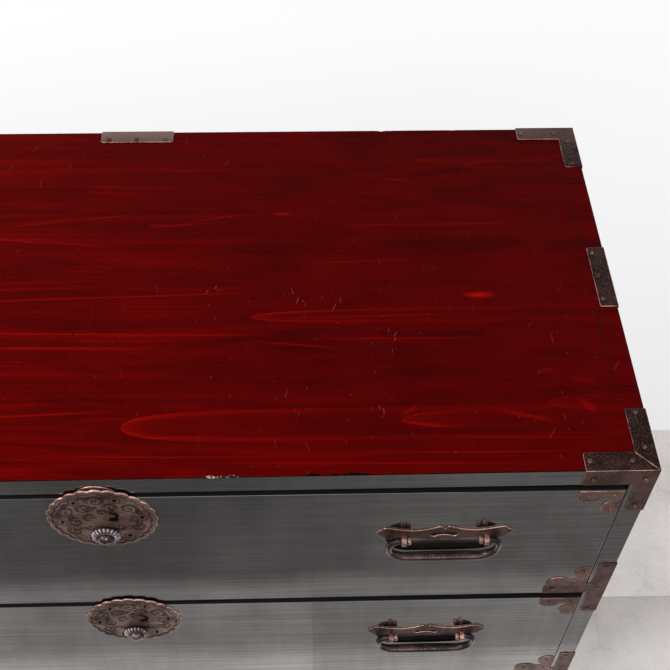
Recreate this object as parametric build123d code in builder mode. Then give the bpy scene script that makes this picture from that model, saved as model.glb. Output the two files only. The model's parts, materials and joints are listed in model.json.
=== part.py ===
from build123d import *
import math
import os

os.makedirs("parts", exist_ok=True)

# A lacquered clothing chest with four full-width drawers and iron fittings.
# Frame: X runs along the width, the front faces -Y, and the chest stands on Z = 0.

# Carcase
chest_width = 909.0
chest_depth = 420.0
chest_height = 840.0
top_thickness = 21.5
bottom_thickness = 21.5
side_thickness = 20.0
back_thickness = 10.0
back_board_count = 4
back_board_gap = 0.4
finger_count = 5
rail_height = 18.0
rail_depth = 45.0
rail_tenon_length = 8.0
rail_tenon_edge = 4.0
runner_width = 20.0
first_opening_height = 180.0

# Drawers. The top edges are planed to a slight slope, so each has two top gaps.
drawer_count = 4
drawer_proud = 1.6
drawer_side_gap = 1.0
drawer_bottom_gap = 0.3
drawer_stop_gap = 0.5
top_gaps_left = (1.5, 3.0, 2.0, 2.5)
top_gaps_right = (6.3, 8.0, 4.5, 3.5)
front_thickness = 20.0
wall_thickness = 12.0
drawer_bottom_thickness = 8.0
front_rebate_depth = 10.0
wall_drop = 12.0

# Lock: a scalloped plate over a case, a push button in a boss, and a bolt
lock_drop = 36.5
lock_radius = 46.0
lock_scallop_depth = 1.4
lock_lobes = 24
lock_plate_thickness = 1.2
lock_nail_ring = 34.2
lock_nail_count = 6
case_half_width = 14.5
case_above = 20.0
case_below = 29.0
case_depth = 12.0
case_wall = 1.5
bolt_width = 12.0
bolt_thickness = 4.0
bolt_tail = 10.0
bolt_recess = 1.0
bolt_inset = 8.0
bolt_throw = 12.0
mortise_depth = 11.0
mortise_clearance = 0.6
sliding_clearance = 0.3
keyhole_x = 9.5
keyhole_radius = 3.2
keyhole_slot_width = 2.4
keyhole_slot_height = 11.0
keyhole_bulge = 3.5
button_drop = 21.5
boss_radius = 11.5
boss_rim = 1.0
boss_height = 7.0
button_radius = 5.6
button_length = 10.6
button_shoulder_share = 0.72
button_travel = 4.0
button_shank_radius = 2.5
button_shank_depth = 4.0
button_flange_radius = 3.6
button_flange_thickness = 1.0
strike_radius = 19.0
strike_rise = 12.5
strike_thickness = 1.0

# Swinging handles: a wavy plate, two eye posts and a bail
handle_spacing = 578.0
first_handle_drop = 72.5
handle_drop = 76.5
handle_plate_thickness = 1.2
bow_slot_half_length = 9.0
bow_slot_width = 2.6
bow_end_radius = 2.6
post_half_spacing = 35.7
post_width = 4.0
eye_radius = 5.2
eye_bore_radius = 3.3
post_shank_height = 4.4
post_leg_length = 11.0
post_leg_thickness = 1.2
post_clearance = 0.1
pivot_reach = 5.9
bail_half_width = 47.6
bail_drop = 29.0
bail_radius = 3.0
bail_middle_radius = 4.5
bail_swell_half_length = 36.0
bail_swell_overlap = 0.3
bail_top_bend = 6.5
bail_bottom_bend = 12.0
bail_knob_radius = 3.9
bail_knob_gap = 0.8
carry_handle_drop = 190.0

# Iron straps and plates
iron_thickness = 0.9
iron_corner_radius = 2.5
corner_arm = 60.0
corner_arm_width = 17.0
corner_leg = 63.0
corner_leg_width = 15.5
corner_face_height = 21.0
foot_clearance = 0.5
tee_height = 100.0
tee_arm = 60.0
tee_rail_margin = 0.25
strap_length = 74.0
strap_width = 16.0
drawer_iron_thickness = 0.8
drawer_iron_inset = 0.6
nail_head_radius = 2.4
nail_head_height = 1.3
nail_radius = 1.0
nail_length = 7.0
nail_edge = 8.5
nail_inner_edge = 4.0
small_nail_head_radius = 1.9
small_nail_head_height = 0.9
small_nail_length = 6.0
nail_hole_clearance = 0.05

# Places worked out from the sizes above
half_width = chest_width / 2
half_depth = chest_depth / 2
inner_half_width = half_width - side_thickness
carcase_top = chest_height - top_thickness
inner_back = half_depth - back_thickness
finger_pitch = chest_depth / finger_count
shared_height = (
    carcase_top
    - bottom_thickness
    - first_opening_height
    - (drawer_count - 1) * rail_height
)
opening_tops = [carcase_top]
opening_floors = [carcase_top - first_opening_height]
for number in range(1, drawer_count):
    opening_tops.append(opening_floors[-1] - rail_height)
    opening_floors.append(opening_tops[-1] - shared_height / (drawer_count - 1))
rail_centres = [floor - rail_height / 2 for floor in opening_floors[:-1]]
face_y = -half_depth - drawer_proud
drawer_half_width = inner_half_width - drawer_side_gap
drawer_back = inner_back - drawer_stop_gap
bolt_y = face_y + bolt_inset
nail_hole_radius = nail_radius + nail_hole_clearance


def save(built, label):
    built.part.label = label
    export_step(built.part, f"parts/{label}.step")


def save_group(pieces, label):
    # Pieces that touch each other stay separate solids in one file.
    solids = [solid for piece in pieces for solid in piece.solids()]
    export_step(Compound(label=label, children=solids), f"parts/{label}.step")


def with_left(pieces):
    return pieces + [mirror(piece, about=Plane.YZ) for piece in pieces]


def with_back(pieces):
    return pieces + [mirror(piece, about=Plane.XZ) for piece in pieces]


def front_plane(x, z, y=-half_depth):
    # Local X runs right, local Y up, and the normal points out of the front.
    return Plane(origin=(x, y, z), x_dir=(1, 0, 0), z_dir=(0, -1, 0))


def side_plane(sign, y, z):
    # Local Y runs up, and the normal points out of the right or left side.
    return Plane(origin=(sign * half_width, y, z), x_dir=(0, sign, 0), z_dir=(sign, 0, 0))


def top_plane(x, y):
    return Plane(origin=(x, y, chest_height), x_dir=(1, 0, 0), z_dir=(0, 0, 1))


def spot(plane, x, y):
    # The same plane moved to a point given in its own coordinates.
    return Plane(origin=plane.from_local_coords((x, y, 0)), x_dir=plane.x_dir, z_dir=plane.z_dir)


# ---- Boards of the carcase ----

side_fingers = [-half_depth + finger_pitch * (n + 0.5) for n in range(1, finger_count, 2)]
rail_y = -half_depth + rail_depth / 2


def end_board(z_low, thickness):
    # The outer and middle fingers of a top or bottom board run out to the side faces.
    finger_places = [(x, y) for x in (-half_width, half_width) for y in side_fingers]
    with BuildPart() as board:
        with BuildSketch(Plane.XY.offset(z_low)):
            Rectangle(chest_width, chest_depth)
            with Locations(*finger_places):
                Rectangle(2 * side_thickness, finger_pitch, mode=Mode.SUBTRACT)
        extrude(amount=thickness)
    return board


def bolt_slot(z, clearance):
    # The section that a lock bolt slides through or into, at a height.
    with BuildSketch(Plane.XY.offset(z)) as slot:
        with Locations((0, bolt_y)):
            Rectangle(bolt_width + 2 * clearance, bolt_thickness + 2 * clearance)
    return slot.sketch


with BuildPart() as top_board:
    add(end_board(carcase_top, top_thickness).part)
    extrude(bolt_slot(carcase_top, mortise_clearance), amount=mortise_depth, mode=Mode.SUBTRACT)
save(top_board, "top_board")

bottom_board = end_board(0, bottom_thickness)
save(bottom_board, "bottom_board")

with BuildPart() as side_boards:
    for sign in (-1, 1):
        inner_face = Plane(origin=(sign * inner_half_width, 0, 0), x_dir=(0, 1, 0), z_dir=(1, 0, 0))
        with BuildSketch(inner_face):
            with Locations((0, (carcase_top + bottom_thickness) / 2)):
                Rectangle(chest_depth, carcase_top - bottom_thickness)
            with Locations(*[(y, chest_height / 2) for y in side_fingers]):
                Rectangle(finger_pitch, chest_height)
        extrude(amount=sign * side_thickness)
        with BuildSketch(inner_face):
            with Locations(*[(rail_y, z) for z in rail_centres]):
                Rectangle(rail_depth - 2 * rail_tenon_edge, rail_height - 2 * rail_tenon_edge)
        extrude(amount=sign * rail_tenon_length, mode=Mode.SUBTRACT)
        # Hole and clinching groove for each post of the carrying handle
        carry_face = side_plane(sign, 0, chest_height - carry_handle_drop)
        with BuildSketch(carry_face):
            with Locations(*[(x, 0) for x in (-post_half_spacing, post_half_spacing)]):
                Rectangle(post_width + 2 * post_clearance, post_shank_height + 2 * post_clearance)
        extrude(amount=-side_thickness, mode=Mode.SUBTRACT)
        with BuildSketch(carry_face.offset(-side_thickness)):
            with Locations(*[(x, 0) for x in (-post_half_spacing, post_half_spacing)]):
                Rectangle(post_width + 2 * post_clearance, 2 * post_leg_length + 2 * post_clearance)
        extrude(amount=post_leg_thickness + sliding_clearance, mode=Mode.SUBTRACT)
save(side_boards, "side_boards")

with BuildPart() as back_boards:
    back_pitch = (carcase_top - bottom_thickness) / back_board_count
    for number in range(back_board_count):
        with BuildSketch(Plane.XY.offset(bottom_thickness + number * back_pitch)):
            with Locations((0, half_depth - back_thickness / 2)):
                Rectangle(2 * inner_half_width, back_thickness)
        extrude(amount=back_pitch - back_board_gap)
save(back_boards, "back_boards")

with BuildPart() as drawer_rails:
    for centre in rail_centres:
        with BuildSketch(Plane.XY.offset(centre - rail_height / 2)):
            with Locations((0, rail_y)):
                Rectangle(2 * inner_half_width, rail_depth)
        extrude(amount=rail_height)
        with BuildSketch(Plane.XY.offset(centre - rail_height / 2 + rail_tenon_edge)):
            with Locations((0, rail_y)):
                Rectangle(2 * (inner_half_width + rail_tenon_length), rail_depth - 2 * rail_tenon_edge)
        extrude(amount=rail_height - 2 * rail_tenon_edge)
        mortise = bolt_slot(centre - rail_height / 2, mortise_clearance)
        extrude(mortise, amount=mortise_depth, mode=Mode.SUBTRACT)
save(drawer_rails, "drawer_rails")

with BuildPart() as drawer_runners:
    runner_front = -half_depth + rail_depth
    runner_middle = (runner_front + inner_back) / 2
    runner_places = [(s * (inner_half_width - runner_width / 2), runner_middle) for s in (-1, 1)]
    for centre in rail_centres:
        with BuildSketch(Plane.XY.offset(centre - rail_height / 2)):
            with Locations(*runner_places):
                Rectangle(runner_width, inner_back - runner_front)
        extrude(amount=rail_height)
save(drawer_runners, "drawer_runners")


# ---- Nails ----


def domed_nail(plane, head_radius, head_height, length):
    # A nail whose round head sits on the plane, with its shank going into the wood behind.
    section = Plane(origin=plane.origin, x_dir=plane.x_dir, z_dir=-plane.y_dir)
    dome_radius = (head_radius**2 + head_height**2) / (2 * head_height)
    half_angle = math.asin(head_radius / dome_radius) / 2
    dome_middle = (
        dome_radius * math.sin(half_angle),
        head_height - dome_radius * (1 - math.cos(half_angle)),
    )
    with BuildPart() as nail:
        with BuildSketch(section):
            with BuildLine():
                ThreePointArc((head_radius, 0), dome_middle, (0, head_height))
                Polyline(
                    (0, head_height),
                    (0, -length),
                    (nail_radius, -length),
                    (nail_radius, 0),
                    (head_radius, 0),
                )
            make_face()
        revolve(axis=Axis(plane.origin, plane.z_dir))
    return nail.part


def carcase_nails_at(plane, points):
    places = [spot(plane, x, y).offset(iron_thickness) for x, y in points]
    return [domed_nail(place, nail_head_radius, nail_head_height, nail_length) for place in places]


# ---- Corner irons: two leaves that meet in a mitre at the chest's corner ----

mitre = Plane(origin=(half_width, -half_depth, 0), x_dir=(0, 0, 1), z_dir=(1, 1, 0))
arm_nail_depth = nail_edge + nail_inner_edge
face_nails = [
    (-nail_edge, arm_nail_depth),
    (-corner_arm + nail_edge, arm_nail_depth),
    (-nail_edge, corner_leg - nail_edge),
]
top_nails = [
    (-corner_arm + nail_edge - nail_inner_edge, nail_edge),
    (-corner_arm_width - nail_inner_edge, nail_edge),
]
upper_face = front_plane(half_width, chest_height)
lower_face = front_plane(half_width, foot_clearance)
upper_top = top_plane(half_width, -half_depth)


def flip(points, direction):
    return [(x, direction * y) for x, y in points]


def face_leaf(plane, direction):
    # An arm along the board's edge and a leg along the upright, up or down from the corner.
    outline = [
        (iron_thickness, 0),
        (-corner_arm, 0),
        (-corner_arm, corner_face_height),
        (-corner_leg_width, corner_face_height),
        (-corner_leg_width, corner_leg),
        (iron_thickness, corner_leg),
    ]
    with BuildSketch(plane) as leaf:
        with BuildLine():
            radii = [0, 0] + [iron_corner_radius] * 3 + [0]
            FilletPolyline(*flip(outline, direction), radius=radii, close=True)
        make_face()
        with Locations(*flip(face_nails, direction)):
            Circle(nail_hole_radius, mode=Mode.SUBTRACT)
    return leaf.sketch


with BuildPart() as upper_leaf:
    extrude(face_leaf(upper_face, -1), amount=iron_thickness)
    with BuildSketch(upper_top):
        with BuildLine():
            FilletPolyline(
                (iron_thickness, -iron_thickness),
                (-corner_arm, -iron_thickness),
                (-corner_arm, corner_arm_width),
                (iron_thickness, corner_arm_width),
                radius=[0, 0, iron_corner_radius, 0],
                close=True,
            )
        make_face()
        with Locations(*top_nails):
            Circle(nail_hole_radius, mode=Mode.SUBTRACT)
    extrude(amount=iron_thickness)
    split(bisect_by=mitre, keep=Keep.BOTTOM)

with BuildPart() as lower_leaf:
    extrude(face_leaf(lower_face, 1), amount=iron_thickness)
    split(bisect_by=mitre, keep=Keep.BOTTOM)

upper_leaves = [upper_leaf.part, mirror(upper_leaf.part, about=mitre)]
lower_leaves = [lower_leaf.part, mirror(lower_leaf.part, about=mitre)]
save_group(with_back(with_left(upper_leaves)), "top_corner_irons")
save_group(with_back(with_left(lower_leaves)), "bottom_corner_irons")

corner_nails = (
    carcase_nails_at(upper_face, flip(face_nails, -1))
    + carcase_nails_at(lower_face, face_nails)
    + carcase_nails_at(upper_top, top_nails)
)
corner_nails += [mirror(nail, about=mitre) for nail in corner_nails]
carcase_nails = with_back(with_left(corner_nails))


# ---- Tee irons that tie each rail to its uprights ----

tee_nails = [
    (-nail_edge, tee_height / 2 - nail_inner_edge),
    (-nail_edge, 0),
    (-nail_edge, nail_inner_edge - tee_height / 2),
    (nail_edge - tee_arm, 0),
]
tee_side_nails = [(nail_edge, y) for y in (-tee_height / 2 + nail_edge, tee_height / 2 - nail_edge)]
tee_arm_half = rail_height / 2 - tee_rail_margin
tee_irons = []
for centre in rail_centres:
    tee_face = front_plane(half_width, centre)
    tee_side = side_plane(1, -half_depth, centre)
    with BuildPart() as tee_iron:
        with BuildSketch(tee_face):
            with BuildLine():
                FilletPolyline(
                    (iron_thickness, tee_height / 2),
                    (-corner_leg_width, tee_height / 2),
                    (-corner_leg_width, tee_arm_half),
                    (-tee_arm, tee_arm_half),
                    (-tee_arm, -tee_arm_half),
                    (-corner_leg_width, -tee_arm_half),
                    (-corner_leg_width, -tee_height / 2),
                    (iron_thickness, -tee_height / 2),
                    radius=[0] + [iron_corner_radius] * 6 + [0],
                    close=True,
                )
            make_face()
            with Locations(*tee_nails):
                Circle(nail_hole_radius, mode=Mode.SUBTRACT)
        extrude(amount=iron_thickness)
        with BuildSketch(tee_side):
            with Locations((corner_leg_width / 2, 0)):
                Rectangle(corner_leg_width, tee_height)
            with Locations(*tee_side_nails):
                Circle(nail_hole_radius, mode=Mode.SUBTRACT)
        extrude(amount=iron_thickness)
    tee_irons.append(tee_iron.part)
    tee_pins = carcase_nails_at(tee_face, tee_nails) + carcase_nails_at(tee_side, tee_side_nails)
    carcase_nails += with_left(tee_pins)
save_group(with_left(tee_irons), "tee_irons")


# ---- Straps folded over the middle of the back and side edges of the top ----


def edge_strap(top, face):
    # Both planes stand at the middle of the edge, with their local X along it.
    span = strap_length / 2 - nail_edge
    nails = [(-span, nail_inner_edge - strap_width), (0, nail_inner_edge - strap_width)]
    nails.append((span, nail_inner_edge - strap_width))
    with BuildPart() as strap:
        for plane, overlap in ((top, iron_thickness), (face, 0)):
            with BuildSketch(plane):
                with BuildLine():
                    FilletPolyline(
                        (-strap_length / 2, overlap),
                        (strap_length / 2, overlap),
                        (strap_length / 2, -strap_width),
                        (-strap_length / 2, -strap_width),
                        radius=[0, 0, iron_corner_radius, iron_corner_radius],
                        close=True,
                    )
                make_face()
                with Locations(*nails):
                    Circle(nail_hole_radius, mode=Mode.SUBTRACT)
            extrude(amount=iron_thickness)
    pins = carcase_nails_at(top, nails) + carcase_nails_at(face, nails)
    return strap.part, pins


side_strap, side_pins = edge_strap(
    Plane(origin=(half_width, 0, chest_height), x_dir=(0, -1, 0), z_dir=(0, 0, 1)),
    Plane(origin=(half_width, 0, chest_height), x_dir=(0, 1, 0), z_dir=(1, 0, 0)),
)
back_strap, back_pins = edge_strap(
    Plane(origin=(0, half_depth, chest_height), x_dir=(1, 0, 0), z_dir=(0, 0, 1)),
    Plane(origin=(0, half_depth, chest_height), x_dir=(-1, 0, 0), z_dir=(0, 1, 0)),
)
save_group(with_left([side_strap]) + [back_strap], "edge_straps")
carcase_nails += with_left(side_pins) + back_pins
save_group(carcase_nails, "carcase_nails")

# A dome-shaped wear plate on the top board's edge, behind the first lock plate
with BuildPart() as strike_plate:
    with BuildSketch(front_plane(0, carcase_top)):
        with Locations((0, strike_rise - strike_radius)):
            Circle(strike_radius)
        with Locations((0, -strike_radius)):
            Rectangle(2 * strike_radius, 2 * strike_radius, mode=Mode.SUBTRACT)
    extrude(amount=strike_thickness)
save(strike_plate, "strike_plate")


# ---- Swinging handles ----

eye_places = [-post_half_spacing, post_half_spacing]


def handle_plate(base):
    # Wavy ends and edges drawn for one half, and a bow-shaped slot through the middle.
    with BuildPart() as plate:
        with BuildSketch(base):
            with BuildLine():
                Spline((0, 8.8), (6.2, 12.6), (20.0, 8.2), (33.0, 6.4), (50.0, 11.4))
                ThreePointArc((50.0, 11.4), (54.2, 10.8), (55.6, 7.2))
                ThreePointArc((55.6, 7.2), (59.0, 5.4), (58.6, 1.6))
                Spline(
                    (58.6, 1.6),
                    (53.0, -4.6),
                    (47.0, -10.6),
                    (33.0, -8.6),
                    (20.0, -10.4),
                    (7.0, -14.0),
                    (0, -10.8),
                )
                mirror(about=Plane.YZ)
            make_face()
            bow = ThreePointArc(
                (-bow_slot_half_length, -1.4),
                (0, 1.6),
                (bow_slot_half_length, -1.4),
            )
            SlotArc(bow, bow_slot_width, mode=Mode.SUBTRACT)
            with Locations(*[(s * (bow_slot_half_length + 0.6), -0.6) for s in (-1, 1)]):
                Circle(bow_end_radius, mode=Mode.SUBTRACT)
            with Locations(*[(x, 0) for x in eye_places]):
                Rectangle(
                    post_width + 2 * post_clearance,
                    post_shank_height + 2 * post_clearance,
                    mode=Mode.SUBTRACT,
                )
        extrude(amount=handle_plate_thickness)
    return plate.part


def handle_posts(base, grip):
    # Each post has an eye in front and two legs clinched flat behind the board.
    pivot_height = handle_plate_thickness + pivot_reach
    posts = []
    for x in eye_places:
        with BuildPart(base) as post:
            with Locations((x, 0, pivot_height)):
                Cylinder(eye_radius, post_width, rotation=(0, 90, 0))
            with Locations((x, 0, (pivot_height - grip) / 2)):
                Box(post_width, post_shank_height, pivot_height + grip)
            with Locations((x, 0, -grip - post_leg_thickness / 2)):
                Box(post_width, 2 * post_leg_length, post_leg_thickness)
            with Locations((x, 0, pivot_height)):
                Cylinder(eye_bore_radius, 2 * post_width, rotation=(0, 90, 0), mode=Mode.SUBTRACT)
        posts.append(post.part)
    return posts


def handle_bail(base):
    # A round bar through both eyes, with a thicker middle and a knob inside each eye.
    swing = base.offset(handle_plate_thickness + pivot_reach)
    knob_place = post_half_spacing - post_width / 2 - bail_knob_gap - bail_knob_radius
    bar_start = swing.from_local_coords((0, -bail_drop, 0))
    swell_start = bail_radius - bail_swell_overlap
    with BuildPart() as bail:
        with BuildLine(swing) as path:
            FilletPolyline(
                (-knob_place, 0),
                (-bail_half_width, 0),
                (-bail_half_width, -bail_drop),
                (bail_half_width, -bail_drop),
                (bail_half_width, 0),
                (knob_place, 0),
                radius=[bail_top_bend, bail_bottom_bend, bail_bottom_bend, bail_top_bend],
            )
        with BuildSketch(path.line ^ 0):
            Circle(bail_radius)
        sweep()
        with BuildSketch(Plane(origin=bar_start, x_dir=swing.x_dir, z_dir=swing.z_dir)):
            with BuildLine():
                ThreePointArc(
                    (-bail_swell_half_length, swell_start),
                    (0, bail_middle_radius),
                    (bail_swell_half_length, swell_start),
                )
                Polyline(
                    (bail_swell_half_length, swell_start),
                    (bail_swell_half_length, 0),
                    (-bail_swell_half_length, 0),
                    (-bail_swell_half_length, swell_start),
                )
            make_face()
        revolve(axis=Axis(bar_start, swing.x_dir))
        with Locations(*[swing.from_local_coords((x, 0, 0)) for x in (-knob_place, knob_place)]):
            Sphere(bail_knob_radius)
    return bail


side_handle_plates = []
side_handle_posts = []
for sign, side_name in ((-1, "left"), (1, "right")):
    carry_base = side_plane(sign, 0, chest_height - carry_handle_drop)
    side_handle_plates.append(handle_plate(carry_base))
    side_handle_posts += handle_posts(carry_base, side_thickness - post_leg_thickness - post_clearance)
    save(handle_bail(carry_base), f"{side_name}_carrying_bail")
save_group(side_handle_plates, "carrying_handle_plates")
save_group(side_handle_posts, "carrying_handle_posts")


# ---- Drawers ----


drawer_iron_nails = [(29.0, 7.5), (7.5, 6.5), (7.0, 28.5)]


def small_nails_at(plane, points, height):
    places = [spot(plane, x, y).offset(height) for x, y in points]
    return [
        domed_nail(place, small_nail_head_radius, small_nail_head_height, small_nail_length)
        for place in places
    ]


def drawer_corner_iron(x, z, side, upper):
    # A cloud-shaped plate: a long lobe on the level edge, then a knob on the upright edge.
    plane = Plane(origin=(x, face_y, z), x_dir=(-side, 0, 0), z_dir=(0, -side * upper, 0))
    outward = side * upper
    with BuildPart() as iron:
        with BuildSketch(plane):
            with BuildLine():
                Polyline((0, 34.5), (0, 0), (38.0, 0), (38.4, 6.0))
                ThreePointArc((38.4, 6.0), (35.5, 13.8), (28.0, 16.8))
                ThreePointArc((28.0, 16.8), (21.8, 15.8), (18.0, 11.4))
                Line((18.0, 11.4), (12.2, 10.8))
                ThreePointArc((12.2, 10.8), (10.4, 14.0), (11.4, 17.4))
                ThreePointArc((11.4, 17.4), (15.6, 25.0), (13.4, 32.0))
                ThreePointArc((13.4, 32.0), (7.5, 36.4), (0, 34.5))
            make_face()
            with Locations(*drawer_iron_nails):
                Circle(nail_hole_radius, mode=Mode.SUBTRACT)
        extrude(amount=outward * drawer_iron_thickness)
    face = front_plane(x, z, face_y)
    points = [(-side * u, -upper * v) for u, v in drawer_iron_nails]
    return [iron.part] + small_nails_at(face, points, drawer_iron_thickness)


def drawer_front(bottom, top_left, top_right, wall_top, lock_z, handles):
    face = front_plane(0, 0, face_y)
    back_face = face.offset(-front_thickness)
    top = max(top_left, top_right)
    with BuildPart() as front:
        with BuildSketch(face):
            with BuildLine():
                Polyline(
                    (-drawer_half_width, bottom),
                    (drawer_half_width, bottom),
                    (drawer_half_width, top_right),
                    (-drawer_half_width, top_left),
                    close=True,
                )
            make_face()
        extrude(amount=-front_thickness)
        # Rebates for the two side walls and the bottom
        with BuildSketch(back_face):
            with Locations(*[(s * drawer_half_width, (bottom + wall_top) / 2) for s in (-1, 1)]):
                Rectangle(2 * wall_thickness, wall_top - bottom)
            with Locations((0, bottom)):
                Rectangle(2 * drawer_half_width, 2 * drawer_bottom_thickness)
        extrude(amount=front_rebate_depth, mode=Mode.SUBTRACT)
        # Pocket for the lock case and channel for its bolt
        with BuildSketch(face):
            with Locations((0, lock_z + (case_above - case_below) / 2)):
                Rectangle(
                    2 * (case_half_width + sliding_clearance),
                    case_above + case_below + 2 * sliding_clearance,
                )
        extrude(amount=-case_depth - sliding_clearance, mode=Mode.SUBTRACT)
        extrude(bolt_slot(lock_z, sliding_clearance), amount=top - lock_z, mode=Mode.SUBTRACT)
        # Holes for the handle posts
        with BuildSketch(face):
            with Locations(*[(x + eye_x, z) for x, z in handles for eye_x in eye_places]):
                Rectangle(post_width + 2 * post_clearance, post_shank_height + 2 * post_clearance)
        extrude(amount=-front_thickness, mode=Mode.SUBTRACT)
    return front


def drawer_walls(wall_bottom, wall_top):
    # Two side walls let into the front, and a back wall between them.
    wall_front = face_y + front_thickness - front_rebate_depth
    wall_middle = (wall_front + drawer_back) / 2
    walls = []
    for side in (-1, 1):
        with BuildPart() as wall:
            with BuildSketch(Plane.XY.offset(wall_bottom)):
                with Locations((side * (drawer_half_width - wall_thickness / 2), wall_middle)):
                    Rectangle(wall_thickness, drawer_back - wall_front)
            extrude(amount=wall_top - wall_bottom)
        walls.append(wall.part)
    with BuildPart() as back_wall:
        with BuildSketch(Plane.XY.offset(wall_bottom)):
            with Locations((0, drawer_back - wall_thickness / 2)):
                Rectangle(2 * (drawer_half_width - wall_thickness), wall_thickness)
        extrude(amount=wall_top - wall_bottom)
    return walls + [back_wall.part]


def drawer_bottom(bottom):
    bottom_front = face_y + front_thickness - front_rebate_depth
    with BuildPart() as panel:
        with BuildSketch(Plane.XY.offset(bottom)):
            with Locations((0, (bottom_front + drawer_back) / 2)):
                Rectangle(2 * drawer_half_width, drawer_back - bottom_front)
        extrude(amount=drawer_bottom_thickness)
    return panel


def lock_plate(lock_z):
    # The visible plate, its nails, the fluted boss round the button, and the case behind.
    face = front_plane(0, lock_z, face_y)
    valley_radius = lock_radius - lock_scallop_depth
    ring = [
        (
            lock_nail_ring * math.cos(2 * math.pi * n / lock_nail_count),
            lock_nail_ring * math.sin(2 * math.pi * n / lock_nail_count),
        )
        for n in range(lock_nail_count)
    ]
    with BuildPart() as plate:
        with BuildSketch(face):
            with BuildLine():
                for lobe in range(lock_lobes):
                    angles = [2 * math.pi * (lobe + step) / lock_lobes for step in (-0.5, 0, 0.5)]
                    radii = (valley_radius, lock_radius, valley_radius)
                    ThreePointArc(*[(r * math.cos(a), r * math.sin(a)) for a, r in zip(angles, radii)])
            make_face()
            with Locations(*ring):
                Circle(nail_hole_radius, mode=Mode.SUBTRACT)
            with Locations((keyhole_x, 0)):
                Circle(keyhole_radius, mode=Mode.SUBTRACT)
            slot_line = ThreePointArc(
                (keyhole_x, 0),
                (keyhole_x + keyhole_bulge, keyhole_slot_height / 2),
                (keyhole_x, keyhole_slot_height),
            )
            SlotArc(slot_line, keyhole_slot_width, mode=Mode.SUBTRACT)
            with Locations((0, -button_drop)):
                Circle(button_shank_radius + sliding_clearance, mode=Mode.SUBTRACT)
        extrude(amount=lock_plate_thickness)
    seat = spot(face, 0, -button_drop).offset(lock_plate_thickness)
    section = Plane(origin=seat.origin, x_dir=seat.x_dir, z_dir=-seat.y_dir)
    bore = button_radius + sliding_clearance
    with BuildPart() as boss:
        with BuildSketch(section):
            with BuildLine():
                Polyline((bore, boss_height), (bore, 0), (boss_radius, 0), (boss_radius, boss_rim))
                ThreePointArc(
                    (boss_radius, boss_rim),
                    ((bore + boss_radius) / 2 + boss_rim, (boss_height + boss_rim) / 2 + boss_rim),
                    (bore, boss_height),
                )
            make_face()
        revolve(axis=Axis(seat.origin, seat.z_dir))
    case_face = spot(face, 0, (case_above - case_below) / 2)
    with BuildPart() as case:
        with BuildSketch(case_face):
            Rectangle(2 * case_half_width, case_above + case_below)
        extrude(amount=-case_depth)
        with BuildSketch(case_face):
            Rectangle(2 * (case_half_width - case_wall), case_above + case_below - 2 * case_wall)
        extrude(amount=case_wall - case_depth, mode=Mode.SUBTRACT)
        extrude(bolt_slot(lock_z, sliding_clearance), amount=case_above, mode=Mode.SUBTRACT)
    nails = small_nails_at(face, ring, lock_plate_thickness)
    return [plate.part, boss.part, case.part] + nails


def lock_button(lock_z):
    # A bud-shaped head on a shank, kept in by a flange behind the plate.
    seat = front_plane(0, lock_z - button_drop, face_y).offset(lock_plate_thickness)
    section = Plane(origin=seat.origin, x_dir=seat.x_dir, z_dir=-seat.y_dir)
    head_low = button_travel + sliding_clearance
    shank_end = -lock_plate_thickness - button_shank_depth
    flange_top = -lock_plate_thickness - sliding_clearance
    flange_low = flange_top - button_flange_thickness
    tip = head_low + button_length
    with BuildPart() as button:
        with BuildSketch(section):
            with BuildLine():
                Polyline((0, tip), (0, shank_end), (button_shank_radius, shank_end))
                Polyline(
                    (button_shank_radius, shank_end),
                    (button_shank_radius, flange_low),
                    (button_flange_radius, flange_low),
                    (button_flange_radius, flange_top),
                    (button_shank_radius, flange_top),
                    (button_shank_radius, head_low),
                    (button_radius, head_low),
                    (button_radius, boss_height),
                )
                Spline(
                    (button_radius, boss_height),
                    (button_shoulder_share * button_radius, (boss_height + tip) / 2 + boss_rim),
                    (0, tip),
                    tangents=[(0, 1), (-1, 0.35)],
                )
            make_face()
        revolve(axis=Axis(seat.origin, seat.z_dir))
    return button


def lock_bolt(lock_z, bolt_top):
    with BuildPart() as bolt:
        with BuildSketch(Plane.XY.offset(lock_z - bolt_tail)):
            with Locations((0, bolt_y)):
                Rectangle(bolt_width, bolt_thickness)
        extrude(amount=bolt_top - lock_z + bolt_tail)
    return bolt


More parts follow.
